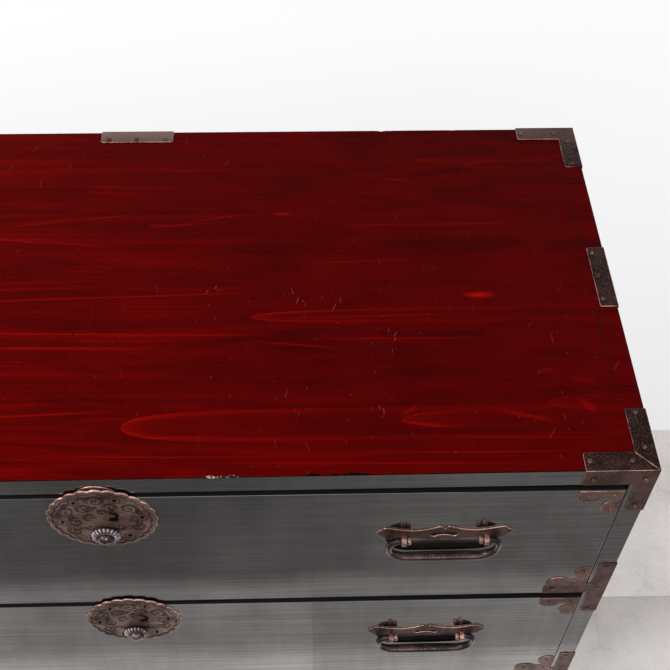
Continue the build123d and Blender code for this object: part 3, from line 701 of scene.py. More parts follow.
def endTree(tree, copies, material):
    # the copies made real and smooth, in their material
    real = addNode(tree, "GeometryNodeRealizeInstances", {0: copies.outputs[0]})
    smooth = addNode(tree, "GeometryNodeSetShadeSmooth", {"Geometry": real.outputs[0]})
    coated = addNode(tree, "GeometryNodeSetMaterial", {"Geometry": smooth.outputs[0], "Material": material})
    addNode(tree, "NodeGroupOutput", {"Geometry": coated.outputs[0]})
    return tree


def builtMesh(mesh, name, tree, values):
    # the mesh that a geometry tree makes from this one
    carrier = linked(name, mesh)
    modifier = carrier.modifiers.new(name, "NODES")
    modifier.node_group = tree
    for item in tree.interface.items_tree:
        if item.in_out == "INPUT" and item.name in values:
            modifier[item.identifier] = values[item.name]
    return bakedMesh(carrier, name)


nailLook = {
    "longest": 0.0095,
    "widest": 0.0055,
    "headHeight": 0.0013,
    "tilt": 0.1,
    "segments": 14,
    "rings": 8,
}


def makeNailTree():
    # a domed head on each point, turned outwards and a little askew
    tree, given = geometryTree("nailHeads", {"Height": "Float", "Tilt": "Float", "Seed": "Int"})
    inputs = {"Segments": nailLook["segments"], "Rings": nailLook["rings"], "Radius": 1.0}
    dome = addNode(tree, "GeometryNodeMeshUVSphere", inputs)
    size = addNode(tree, "ShaderNodeCombineXYZ", {0: 1.0, 1: 1.0, 2: given["Height"]})
    inputs = {"Geometry": dome.outputs["Mesh"], "Scale": size.outputs[0]}
    head = addNode(tree, "GeometryNodeTransform", inputs)
    marks = {}
    for label, kind in (("outward", "FLOAT_VECTOR"), ("headRadius", "FLOAT")):
        made = addNode(tree, "GeometryNodeInputNamedAttribute", {"Name": label}, data_type=kind)
        marks[label] = Field(made.outputs["Attribute"])
    inputs = {"Min": (-1, -1, -1), "Max": (1, 1, 1), "Seed": given["Seed"]}
    askew = Field(addNode(tree, "FunctionNodeRandomValue", inputs, data_type="FLOAT_VECTOR").outputs[0])
    aim = marks["outward"] + askew.scaled(given["Tilt"])
    aimed = addNode(tree, "FunctionNodeAlignRotationToVector", {"Vector": aim}, axis="Z")
    heads = addNode(tree, "GeometryNodeInstanceOnPoints", {
        "Points": given["Geometry"],
        "Instance": head.outputs[0],
        "Rotation": aimed.outputs[0],
        "Scale": marks["headRadius"],
    })
    return endTree(tree, heads, given["Material"])


nailTree = makeNailTree()


def takeNails(shape):
    # removes the nails from a node's copy and gives back where each head sits and points
    look = nailLook
    heads = []
    for part in looseParts(shape):
        low, high = partBox(part)
        size = high - low
        order = sorted(range(3), key=lambda i: size[i])
        if size[order[2]] > look["longest"] or size[order[1]] > look["widest"]:
            continue
        axis = order[2]
        seat = (low + high) / 2
        sign = 1.0 if seat[axis] > 0 else -1.0
        outward = Vector((0, 0, 0))
        outward[axis] = sign
        seat[axis] = (high if sign > 0 else low)[axis] - sign * look["headHeight"] * 0.8
        heads.append((seat, outward, (size[order[0]] + size[order[1]]) / 4))
        bmesh.ops.delete(shape, geom=part, context="VERTS")
    return heads


def nailMesh(name, heads, height, seed, material):
    seats, directions, radii = zip(*heads)
    mesh = bpy.data.meshes.new(name)
    mesh.from_pydata(seats, [], [])
    parts = [part for direction in directions for part in direction]
    mesh.attributes.new("outward", "FLOAT_VECTOR", "POINT").data.foreach_set("vector", parts)
    mesh.attributes.new("headRadius", "FLOAT", "POINT").data.foreach_set("value", radii)
    values = {"Height": height, "Tilt": nailLook["tilt"], "Seed": seed, "Material": material}
    return builtMesh(mesh, name, nailTree, values)


boardLook = {
    "roundTop": 0.0007,
    "roundFront": 0.0006,
    "roundInner": 0.0004,
    "roundBack": 0.0012,
    # chips in the top's edges: x, y, z, half length, depth
    "chips": (
        (0.0972, -0.2103, 0.8407, 0.009, 0.0033),
        (0.1108, -0.2103, 0.8407, 0.0072, 0.003),
        (0.176, -0.21, 0.8408, 0.0075, 0.0034),
        (0.193, -0.21, 0.8408, 0.006, 0.0029),
        (0.21, -0.21, 0.8408, 0.013, 0.0031),
        (0.253, 0.2104, 0.8405, 0.008, 0.0032),
        (0.262, 0.2104, 0.8405, 0.005, 0.0022),
        (0.327, 0.2104, 0.8405, 0.006, 0.0024),
        (0.374, 0.2104, 0.8405, 0.015, 0.0016),
        (-0.21, -0.2105, 0.8408, 0.006, 0.002),
        (-0.318, -0.2105, 0.8408, 0.009, 0.0018),
        (-0.17, 0.2104, 0.8405, 0.007, 0.0026),
    ),
    "chipSeed": 7,
    "paleChipsTo": 0.15,        # front chips left of this x are pale, the others darkened
    "topFrom": 0.8,             # above this height a face belongs to the top
    "frontFrom": -0.2,          # before this y an edge belongs to the front
    "sideThick": 0.014,
    "endThick": 0.016,
    "wallSides": 0.4,           # beyond this x a drawer's walls are its sides
}


def makeChips(paleSlot):
    # small splinter-shaped cutters along the top's edges, whose faces mark the cuts they leave
    random.seed(boardLook["chipSeed"])
    shape = bmesh.new()
    for x, y, z, halfLength, depth in boardLook["chips"]:
        size = Matrix.Diagonal((halfLength, depth, depth * 0.55, 1))
        made = bmesh.ops.create_icosphere(shape, subdivisions=2, radius=1.0)
        for vert in made["verts"]:
            vert.co *= random.uniform(0.72, 1.12)
        bmesh.ops.transform(shape, matrix=Matrix.Translation((x, y, z)) @ size, verts=made["verts"])
    mesh = meshOf(shape, "chips")
    withSlots(mesh, paleSlot + 2)
    for face in mesh.polygons:
        pale = face.center.y < 0 and face.center.x < boardLook["paleChipsTo"]
        face.material_index = paleSlot if pale else paleSlot + 1
    return mesh


def topFace(normal, centre, rounded):
    # red on top, black outside, rubbed along the edges
    if rounded:
        return 2
    return 0 if normal.z > 0.7 and centre.z > boardLook["topFrom"] else 1


def sideFace(normal, centre, rounded):
    # finger tabs red on top, black outside, bare inside, but stained and painted as shade near the front and
    # under the top
    onTop = centre.z > boardLook["topFrom"]
    if normal.z > 0.7 and onTop:
        return 0
    if abs(centre.x) < cadBox[1].x - boardLook["sideThick"] and abs(normal.x) > 0.7:
        return 3
    if rounded:
        return 4 if onTop else 2
    return 1


def frontFace(normal, centre, rounded):
    # black to the front and at the outer ends, bare elsewhere, but stained and painted as shade just behind
    # the front
    atEnd = abs(normal.x) > 0.7 and abs(centre.x) > cadBox[1].x - boardLook["endThick"]
    if normal.y < -0.7 or atEnd:
        return 1
    return 2 if rounded and centre.y < boardLook["frontFrom"] else 0


def wallFace(normal, centre, rounded):
    return 0 if abs(centre.x) < boardLook["wallSides"] else 1


topMesh = softened(mergedCopy("top_board"), "topBoard", boardLook["roundTop"])
paintFaces(topMesh, topFace)
withSlots(topMesh, 5)
topMesh = cutBy(topMesh, "topBoard", [makeChips(3)], operation="DIFFERENCE", solver="EXACT", use_self=True)
topCoats = [redLacquer, blackLacquer, redEdge, chipWood, darkChip]
addPiece("topBoard", topMesh, topCoats, "carcase", ["top_board"])
sideCoats = [redLacquer, blackLacquer, blackEdge, stainedShadedDeep, redEdge]
width = boardLook["roundTop"]
roundedPiece("side_boards", "sideBoards", "carcase", "black_lacquer", sideCoats, width, sideFace)
fronts = [("drawer_rails", "drawerRails", "carcase"), ("bottom_board", "bottomBoard", "carcase")]
fronts += [(drawer + "_front", drawer + "_lacquered_front", drawer) for drawer in drawerNames]
frontCoats = [stainedShadedLong, blackLacquer, blackEdge]
for nodeName, pieceName, body in fronts:
    roundedPiece(nodeName, pieceName, body, "black_lacquer", frontCoats, boardLook["roundFront"], frontFace)
plainBoards = [("back_boards", "carcase", longWood, longWood, "roundBack", None)]
plainBoards.append(("drawer_runners", "carcase", deepWood, deepWood, "roundInner", None))
for drawer in drawerNames:
    plainBoards.append((drawer + "_walls", drawer, longWood, deepWood, "roundInner", wallFace))
    plainBoards.append((drawer + "_bottom", drawer, longWood, longWood, "roundInner", None))
for nodeName, body, first, second, rounding, choose in plainBoards:
    width = boardLook[rounding]
    roundedPiece(nodeName, nodeName + "_planed", body, "bare_wood", [first, second], width, choose)
print("boards made")

ironLook = {
    "round": 0.00055,
    "thick": 0.0012,
    "nailHeight": 0.7,
    "seamWidth": 0.0165,
    "seamRadius": 0.0006,
    "seamSink": 0.00025,
    "seamAhead": 0.0004,
    "seamStep": 0.0011,
    "seamUneven": 0.25,
}


def ironFace(normal, centre, rounded):
    # edges worn bright with a painted highlight, and where the iron lies level a darker pitted copy: painted
    # shade on the top faces
    return 1 if rounded else 2 * (normal.z > 0.7)


def ironPiece(nodeName, body, nailSeed, upright):
    pieceName = nodeName + "_forged"
    shape = mergedCopy(nodeName)
    heads = takeNails(shape)
    plain = len(shape.verts) > 0
    if plain:
        mesh = softened(shape, pieceName, ironLook["round"])
        paintFaces(mesh, ironFace)
        coats = [upright, irons["ironWornEdgeHighlight"], irons["pittedShadedIron"]]
        addPiece(pieceName, mesh, coats, body, [nodeName])
    if heads:
        name = pieceName + "_nails"
        mesh = nailMesh(name, heads, ironLook["nailHeight"], nailSeed, irons["nailIron"])
        addPiece(name, mesh, [irons["nailIron"]], body, [] if plain else [nodeName])


carcaseIrons = ["top_corner_irons", "bottom_corner_irons", "tee_irons"]
carcaseIrons += ["edge_straps", "strike_plate", "carcase_nails"]
for seed, nodeName in enumerate(carcaseIrons):
    ironPiece(nodeName, "carcase", seed, irons["patinatedIron"])
for seed, drawer in enumerate(drawerNames):
    ironPiece(drawer + "_corner_irons", drawer, 20 + seed, irons["drawerIron"])
print("flat irons made")


def meshFrom(name, points, faces, smooth=True):
    mesh = bpy.data.meshes.new(name)
    mesh.from_pydata(points, [], faces)
    mesh.polygons.foreach_set("use_smooth", [smooth] * len(mesh.polygons))
    return mesh


def outwardFaces(mesh):
    shape = bmesh.new()
    shape.from_mesh(mesh)
    bmesh.ops.remove_doubles(shape, verts=shape.verts, dist=0.000002)
    bmesh.ops.recalc_face_normals(shape, faces=shape.faces)
    shape.to_mesh(mesh)
    shape.free()
    return mesh


def solidFrom(name, *shapes):
    # one or more lists of points and faces as a mesh whose faces point outwards
    points, faces = [], []
    for shapePoints, shapeFaces in shapes:
        shift = len(points)
        points += shapePoints
        faces += [tuple(i + shift for i in face) for face in shapeFaces]
    return outwardFaces(meshFrom(name, points, faces))


def moved(shape, matrix):
    points, faces = shape
    return [matrix @ Vector(point) for point in points], faces


def ringPoints(profile, steps, ripple=None):
    # a ring of points about Z for each (radius, height)
    points = []
    for radius, height in profile:
        for i in range(steps):
            angle = math.tau * i / steps
            reach = radius * (ripple(angle, height) if ripple else 1.0)
            points.append((reach * math.cos(angle), reach * math.sin(angle), height))
    return points


def ringFaces(rings, steps, first=0, closed=False):
    # the faces between rings of points that follow each other from the first point on
    faces = []
    for ring in range(rings if closed else rings - 1):
        low, high = first + ring * steps, first + (ring + 1) % rings * steps
        for i in range(steps):
            j = (i + 1) % steps
            faces.append((low + i, low + j, high + j, high + i))
    return faces


def turned(profile, steps, ripple=None):
    # a shape turned about Z from (radius, height) points, the first and last on the axis
    ends = [(0, 0, profile[0][1])], [(0, 0, profile[-1][1])]
    points = ends[0] + ringPoints(profile[1:-1], steps, ripple) + ends[1]
    last = len(points) - 1
    faces = ringFaces(len(profile) - 2, steps, 1)
    for i in range(steps):
        j = (i + 1) % steps
        faces += [(0, 1 + j, 1 + i), (last - steps + i, last - steps + j, last)]
    return points, faces


def swept(path, radii, sides, wobble=0.0):
    # a round bar along a path, closed at both ends
    points = []
    for i, (place, radius) in enumerate(zip(path, radii)):
        ahead = path[min(i + 1, len(path) - 1)] - path[max(i - 1, 0)]
        across = Vector((0, 0, 1)).cross(ahead).normalized()
        upward = ahead.cross(across).normalized()
        for k in range(sides):
            angle = math.tau * k / sides
            reach = radius * (1 + wobble * math.cos(4 * angle))
            points.append(place + across * reach * math.cos(angle) + upward * reach * math.sin(angle))
    start = len(points) - sides
    ends = [tuple(range(sides))[::-1], tuple(range(start, start + sides))]
    return points, ringFaces(len(path), sides) + ends


def refined(points, step):
    made = [points[0]]
    for start, end in zip(points, points[1:]):
        count = max(1, round((end - start).length / step))
        made += [start.lerp(end, i / count) for i in range(1, count + 1)]
    return made


def roundedPath(corners, radii, step):
    # points along straight runs and corner arcs
    made = [corners[0].copy()]
    for before, corner, after, radius in zip(corners, corners[1:], corners[2:], radii):
        into, out = (corner - before).normalized(), (after - corner).normalized()
        turn = into.angle(out)
        start = corner - into * radius * math.tan(turn / 2)
        centre = start + (out - into * into.dot(out)).normalized() * radius
        count = max(4, int(turn * radius / step))
        axis = into.cross(out).normalized()
        for i in range(count + 1):
            made.append(centre + Matrix.Rotation(turn * i / count, 3, axis) @ (start - centre))
    made.append(corners[-1].copy())
    return refined(made, step)


def faceFrame(place, out):
    # local X runs right along a face, local Y up it, and local Z out of it
    up, outward = Vector((0, 0, 1)), Vector(out)
    return Matrix.Translation(place) @ Matrix((up.cross(outward), up, outward)).transposed().to_4x4()


def backPlate(name, middle, halfWide, halfHigh):
    # a thin dark oval plate behind a pierced opening: painted shade inside the opening
    steps = 24
    size = Matrix.Translation((*middle, 0)) @ Matrix.Diagonal((halfWide, halfHigh, 1, 1))
    points = [size @ Vector(point) for point in ringPoints([(1, -0.0002), (1, 0.0003)], steps)]
    ends = [tuple(range(steps))[::-1], tuple(range(steps, 2 * steps))]
    return meshFrom(name, points, ends + ringFaces(2, steps), False)


def seatedPiece(name, shape, seat, materials, body, replaced=()):
    mesh = shape.copy()
    mesh.name = name
    mesh.transform(seat)
    addPiece(name, mesh, materials, body, replaced)


def makeSeams():
    # the raised mitre seam across the top of each front corner iron
    look = ironLook
    high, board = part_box("top_corner_irons")[1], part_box("top_board")[1]
    shapes = []
    for x in (-1, 1):
        height = board.z + look["thick"] - look["seamSink"]
        outer = Vector((x * (high.x - look["thick"]), -board.y - look["seamAhead"], height))
        inner = outer - Vector((x, -1, 0)) * look["seamWidth"]
        path = refined([inner, outer], look["seamStep"])
        swells = [look["seamUneven"] * math.sin(3.1 * i + 2 * x - 1) for i in range(len(path))]
        radii = [look["seamRadius"] * (1 + swell) for swell in swells]
        shapes.append(swept(path, radii, 8))
    return solidFrom("topMitreSeams", *shapes)


# the seam in the bright edge colour: a painted highlight along the mitre
addPiece("topMitreSeams", makeSeams(), [irons["ironWornEdgeHighlight"]], "carcase")

lockLook = {
    "radius": 0.046,
    "valley": 0.0439,
    "lobes": 24,
    "thick": 0.0012,
    "crown": 0.0006,
    "rimBand": 0.0047,
    "rimRise": 0.0005,
    "lineWidth": 0.0011,
    "hatchWidth": 0.0007,
    "lineDepth": 0.0004,
    "steps": 456,
    "rings": 92,
    "nailRing": 0.0336,
    "nailCount": 6,
    "nailTurn": 5,
    "nailRadius": 0.0017,
    "nailCollar": 0.0042,
    "collarWidth": 0.0009,
    "nailHeight": 0.6,
    "nailLift": 0.0004,
    "keyhole": (0.0095, -0.0002),
    "keyRadius": 0.0042,
    "keySlot": 0.0016,
    "keyHook": ((0.0014, 0.0014), (0.0042, 0.0064), (-0.0032, 0.0122)),
    "keyBend": 0.0022,
    "keyShade": ((0.0095, 0.0043), 0.0095, 0.0115),
    "bossDrop": 0.0215,
    "bossRadius": 0.0115,
    "bossHeight": 0.0066,
    "bossStand": 0.0032,
    "bossInner": 0.007,
    "bossBore": 0.0066,
    "shankBore": 0.0028,
    "fluteCount": 20,
    "ribWidth": 0.41,
    "ribSink": 0.4,
    "neckShare": 0.74,
    "capShare": 0.97,
    "domeShare": 0.85,
    "caseRound": 0.0003,
    "caseSmallest": 0.02,
    "echoGap": 0.0019,
    # scrolls: angle in degrees, distance from the middle, size, turns, way round
    "scrolls": (
        (35, 0.0290, 0.0068, 1.6, 1),
        (64, 0.0215, 0.0052, 1.3, -1),
        (93, 0.0295, 0.0070, 1.6, -1),
        (128, 0.0215, 0.0058, 1.4, 1),
        (154, 0.0300, 0.0066, 1.6, -1),
        (186, 0.0215, 0.0060, 1.5, 1),
        (216, 0.0300, 0.0056, 1.4, 1),
        (336, 0.0300, 0.0056, 1.4, -1),
        (150, 0.0095, 0.0052, 1.3, -1),
        (85, 0.0115, 0.0040, 1.2, 1),
        (0, 0.0250, 0.0044, 1.2, -1),
        (226, 0.0165, 0.0036, 1.1, -1),
        (318, 0.0175, 0.0036, 1.1, 1),
    ),
    # hatched leaves: angle in degrees, distance, lean in degrees, half length, half width
    "leaves": (
        (203, 0.0255, 160, 0.0088, 0.0027),
        (232, 0.0335, 150, 0.0075, 0.0026),
        (325, 0.0262, 20, 0.0085, 0.0027),
        (350, 0.0320, 70, 0.0065, 0.0023),
        (290, 0.0365, 12, 0.0075, 0.0020),
        (250, 0.0368, -15, 0.0060, 0.0019),
        (110, 0.0185, 40, 0.0060, 0.0021),
        (46, 0.0165, 120, 0.0056, 0.0019),
        (170, 0.0245, 80, 0.0052, 0.0018),
        (78, 0.0350, 0, 0.0062, 0.0019),
        (108, 0.0352, 10, 0.0058, 0.0018),
        (18, 0.0345, 100, 0.0058, 0.0018),
        (170, 0.0350, 100, 0.0060, 0.0019),
        (140, 0.0350, 50, 0.0052, 0.0017),
    ),
}


def lobeRadius(angle):
    look = lockLook
    lobe = abs(math.cos(look["lobes"] * angle / 2)) ** 0.7
    return look["valley"] + (look["radius"] - look["valley"]) * lobe


def aroundMiddle(angle, distance):
    return Vector((distance * math.cos(angle), distance * math.sin(angle), 0))


def spiral(centre, size, turns, start, turning, share=1.0):
    # a swirl that winds in from its tail, or the first share of it
    count = max(12, int(turns * size * 9000))
    made = []
    for i in range(int(count * share) + 1):
        along = i / count
        angle = start + turning * math.tau * turns * along
        made.append(centre + aroundMiddle(angle, size * (1 - along) ** 0.75))
    return made


def leaf(middle, lean, halfLength, halfWidth):
    # a pointed leaf: its outline, and the hatching across it
    along, across = aroundMiddle(lean, 1), aroundMiddle(lean + math.pi / 2, 1)
    outline, hatching = [], []
    for i in range(25):
        share = i / 24
        swell = math.sin(math.pi * share)
        bulge = halfWidth * swell ** 0.8
        spine = middle + along * halfLength * (2 * share - 1) + across * halfWidth * 0.7 * swell
        outline += [spine + across * bulge, spine - across * bulge]
        if i % 3 == 0:
            hatching += [spine + (across * bulge + along * 0.0006) * (k / 6 - 1) for k in range(13)]
    return outline, hatching


def engraving():
    # vine scrolls with echo lines between the nails, and hatched leaves
    outlines, hatching = [], []
    for degrees, distance, size, turns, turning in lockLook["scrolls"]:
        centre = aroundMiddle(math.radians(degrees), distance)
        start = math.radians(degrees) - turning * 1.9
        outlines += spiral(centre, size, turns, start, turning)
        outlines += spiral(centre, size + lockLook["echoGap"], turns, start + turning * 0.3, turning, 0.36)
    for degrees, distance, lean, halfLength, halfWidth in lockLook["leaves"]:
        middle = aroundMiddle(math.radians(degrees), distance)
        outline, inside = leaf(middle, math.radians(lean), halfLength, halfWidth)
        outlines += outline
        hatching += inside
    return outlines, hatching


def pointTree(points):
    tree = kdtree.KDTree(len(points))
    for i, point in enumerate(points):
        tree.insert(point, i)
    tree.balance()
    return tree


def lockNailPlaces():
    look = lockLook
    first = math.radians(look["nailTurn"])
    turns = [math.tau * i / look["nailCount"] for i in range(look["nailCount"])]
    return [aroundMiddle(turn + first, look["nailRing"]) for turn in turns]


def closeness(distance, width):
    return max(0.0, 1 - abs(distance) / width)


def lockFace():
    # the plate's front as rings of points, with its rim line and swirls cut in
    look = lockLook
    band = look["rimBand"]
    outlines, hatching = [pointTree(points) for points in engraving()]
    nails = lockNailPlaces()
    points, carved = [(0, 0, look["thick"] + look["crown"])], [0.0]
    for ring in range(1, look["rings"] + 1):
        share = ring / look["rings"]
        for step in range(look["steps"]):
            angle = math.tau * step / look["steps"]
            here = aroundMiddle(angle, lobeRadius(angle) * share)
            inward = lobeRadius(angle) * (1 - share)
            line = closeness(inward - band, look["lineWidth"])
            nearNail = min((here - nail).length for nail in nails)
            collar = closeness(nearNail - look["nailCollar"], look["collarWidth"])
            cut = closeness(outlines.find(here)[2], look["lineWidth"])
            cut = max(cut, 0.9 * closeness(hatching.find(here)[2], look["hatchWidth"]))
            if inward < band + 0.0012 or nearNail < look["nailCollar"] + 0.0013:
                cut = 0.0
            height = look["thick"] + look["crown"] * (1 - share ** 2)
            if inward < band:
                height += look["rimRise"] * (1 - (2 * inward / band - 1) ** 2)
            height -= look["lineDepth"] * (line + cut + collar / 2) + 0.8 * max(0.0, 0.0006 - inward)
            points.append((here.x, here.y, height))
            carved.append(min(1.0, max(line, 0.85 * cut, 0.7 * collar)))
    return points, carved


def lockCutters():
    # the keyhole's round, its hooked slot, and the bore for the button's shank
    look = lockLook
    deep = 0.01
    middle = Vector((*look["keyhole"], 0))
    cutters = []
    bore = Vector((0, -look["bossDrop"], 0))
    for place, radius in ((middle, look["keyRadius"]), (bore, look["shankBore"])):
        post = turned([(0, -deep), (radius, -deep), (radius, deep), (0, deep)], 32)
        cutters.append(moved(post, Matrix.Translation(place)))
    hook = [middle + Vector((*corner, 0)) for corner in look["keyHook"]]
    slot = roundedPath(hook, [look["keyBend"]], 0.0008)
    rise = Vector((0, 0, deep))
    points = []
    for i, place in enumerate(slot):
        ahead = (slot[min(i + 1, len(slot) - 1)] - slot[max(i - 1, 0)]).normalized()
        across = Vector((-ahead.y, ahead.x, 0)) * look["keySlot"] * (1.0 if i < len(slot) - 2 else 0.6)
        for side in (across + rise, across - rise, -across - rise, rise - across):
            points.append(place + side)
    ends = [(0, 1, 2, 3), tuple(len(points) - k for k in (1, 2, 3, 4))]
    cutters.append((points, ringFaces(len(slot), 4) + ends))
    return [solidFrom("lockCutter", cutter) for cutter in cutters]


def makeLockPlate():
    look = lockLook
    points, carved = lockFace()
    steps = look["steps"]
    back = len(points)
    rim = back - steps
    points += [(x, y, 0.0) for x, y, z in points[rim:]]
    faces = [face[::-1] for face in ringFaces(look["rings"] + 1, steps, 1)]
    faces += [(0, 1 + i, 1 + (i + 1) % steps) for i in range(steps)]
    faces.append(tuple(range(back, back + steps))[::-1])
    mesh = meshFrom("lockPlateShape", points, faces)
    withSlots(mesh, 2)
    # faces at the rim take slot 1, the painted highlight
    for face in mesh.polygons:
        face.material_index = 1 if max(face.vertices) >= rim and len(face.vertices) == 4 else 0
    mesh.attributes.new("carved", "FLOAT", "POINT").data.foreach_set("value", carved + [0.0] * steps)
    made = cutBy(mesh, "lockPlateShape", lockCutters(), operation="DIFFERENCE", solver="EXACT")
    made.set_sharp_from_angle(angle=math.radians(50))
    return made


def makeRibTree():
    # one curved rib repeated about the axis
    tree, given = geometryTree("flutedBoss", {"Count": "Int"})
    atAxis = addNode(tree, "GeometryNodePoints", {"Count": given["Count"]})
    index = Field(addNode(tree, "GeometryNodeInputIndex").outputs[0])
    spin = addNode(tree, "ShaderNodeCombineXYZ", {2: index / given["Count"] * math.tau})
    inputs = {"Points": atAxis.outputs[0], "Instance": given["Geometry"], "Rotation": spin.outputs[0]}
    return endTree(tree, addNode(tree, "GeometryNodeInstanceOnPoints", inputs), given["Material"])


def makeBoss():
    # a ribbed cap that stands on a narrower neck, with a collar round the push button
    look = lockLook
    radius, inner, bore, base = look["bossRadius"], look["bossInner"], look["bossBore"], look["thick"]
    foot, top = base + look["bossStand"], base + look["bossHeight"]
    path, radii = [], []
    for i in range(9):
        lift = math.radians(6 + 78 * i / 8)
        reach = inner + (radius - inner) * math.cos(lift)
        radii.append(look["ribWidth"] * math.tau * reach / look["fluteCount"])
        path.append(Vector((reach, 0, foot + (top - foot) * math.sin(lift) - look["ribSink"] * radii[-1])))
    rib = solidFrom("rib", swept(path, radii, 10))
    values = {"Count": look["fluteCount"], "Material": irons["flutedSteel"]}
    ribs = builtMesh(rib, "ribs", makeRibTree(), values)
    neck, cap, rise = radius * look["neckShare"], radius * look["capShare"], (top - foot) * look["domeShare"]
    profile = [(bore, base - 0.0005), (neck, base - 0.0005), (neck, foot - 0.0014), (cap, foot - 0.0009)]
    for degrees in (8, 25, 40, 55, 70, 84):
        lift = math.radians(degrees)
        profile.append((inner + (cap - inner) * math.cos(lift), foot + rise * math.sin(lift)))
    profile += [(inner + 0.0003, top), (inner - 0.0001, top + 0.0003), (bore, top - 0.0004)]
    dome = solidFrom("dome", (ringPoints(profile, 48), ringFaces(len(profile), 48, closed=True)))
    shape = bmesh.new()
    for mesh, slot in ((ribs, 0), (dome, 1)):
        withSlots(mesh, 2)
        mesh.polygons.foreach_set("material_index", [slot] * len(mesh.polygons))
        shape.from_mesh(mesh)
    made = meshOf(shape, "bossShape")
    made.transform(Matrix.Translation((0, -look["bossDrop"], 0)))
    return made


buttonLook = {
    "tip": 0.0126,
    "radius": 0.0062,
    "petals": 6,
    "foot": 0.0061,
    "shoulder": 0.0074,
    "shank": 0.0025,
    "shankEnd": -0.004,
    "flange": 0.0036,
    "flangeTop": -0.0004,
    "flangeThick": 0.001,
}


def makeButton():
    # a low bud of six petals on a shank, with the flange that keeps it in its plate
    look = buttonLook
    radius, shoulder, shank, foot = look["radius"], look["shoulder"], look["shank"], look["foot"]
    flange, flangeTop = look["flange"], look["flangeTop"]
    flangeLow = flangeTop - look["flangeThick"]
    profile = [(0, look["shankEnd"]), (shank, look["shankEnd"]), (shank, flangeLow), (flange, flangeLow)]
    profile += [(flange, flangeTop), (shank, flangeTop), (shank, foot)]
    profile += [(radius * 0.9, foot), (radius * 0.96, shoulder - 0.0004)]
    for i in range(12):
        share = i / 12
        profile.append((radius * (1 - share ** 2.1) ** 0.62, shoulder + (look["tip"] - shoulder) * share))
    profile.append((0, look["tip"]))

    def petal(angle, height):
        if height <= foot:
            return 1
        return 1 + 0.06 * (abs(math.cos(look["petals"] * angle / 2)) - 0.6)

    button = turned(profile, 60, petal)
    return solidFrom("buttonShape", moved(button, Matrix.Translation((0, -lockLook["bossDrop"], 0))))


def lockCase(drawer):
    # the case behind the plate, kept from the frame's own lock
    shape = mergedCopy(drawer + "_lock_plate")
    for part in looseParts(shape):
        low, high = partBox(part)
        if low.y < frontY[drawer] - 0.0005 or (high - low).length < lockLook["caseSmallest"]:
            bmesh.ops.delete(shape, geom=part, context="VERTS")
    return softened(shape, drawer + "_lock_case", lockLook["caseRound"])


frontY = {drawer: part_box(drawer + "_front")[0].y for drawer in drawerNames}
plateShape = makeLockPlate()
keyholeShadeSheet = backPlate("keyholeShadeSheet", *lockLook["keyShade"])
bossShape = makeBoss()
buttonShape = makeButton()
plateCoats = [irons["engravedIron"], irons["engravedIronHighlight"]]
for seed, drawer in enumerate(drawerNames):
    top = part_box(drawer + "_lock_plate")[1].z
    seat = faceFrame(Vector((0, frontY[drawer], top - lockLook["radius"])), (0, -1, 0))
    replaced = [drawer + "_lock_plate"]
    seatedPiece(drawer + "_engraved_plate", plateShape, seat, plateCoats, drawer, replaced=replaced)
    # a near-black sheet under the keyhole: painted shade
    seatedPiece(drawer + "_keyhole_shade", keyholeShadeSheet, seat, [irons["paintedShadeIron"]], drawer)
    case = lockCase(drawer)
    if case.polygons:
        coats = [irons["patinatedIron"], irons["ironWornEdgeHighlight"]]
        addPiece(drawer + "_lock_case", case, coats, drawer)
    coats = [irons["flutedSteel"], irons["patinatedIron"]]
    seatedPiece(drawer + "_fluted_boss", bossShape, seat, coats, drawer)
    coats, replaced = [irons["polishedBud"]], [drawer + "_lock_button"]
    seatedPiece(drawer + "_bud_button", buttonShape, seat, coats, drawer + "_button", replaced)
    # the lock's nail heads in near-black iron: painted shade
    outward, lift = Vector((0, -1, 0)), Vector((0, 0, lockLook["thick"] + lockLook["nailLift"]))
    heads = [(seat @ (place + lift), outward, lockLook["nailRadius"]) for place in lockNailPlaces()]
    nails = nailMesh(drawer + "_lock_nails", heads, lockLook["nailHeight"], 40 + seed, irons["paintedShadeIron"])
    addPiece(drawer + "_lock_nails", nails, [irons["paintedShadeIron"]], drawer)
print("locks made")

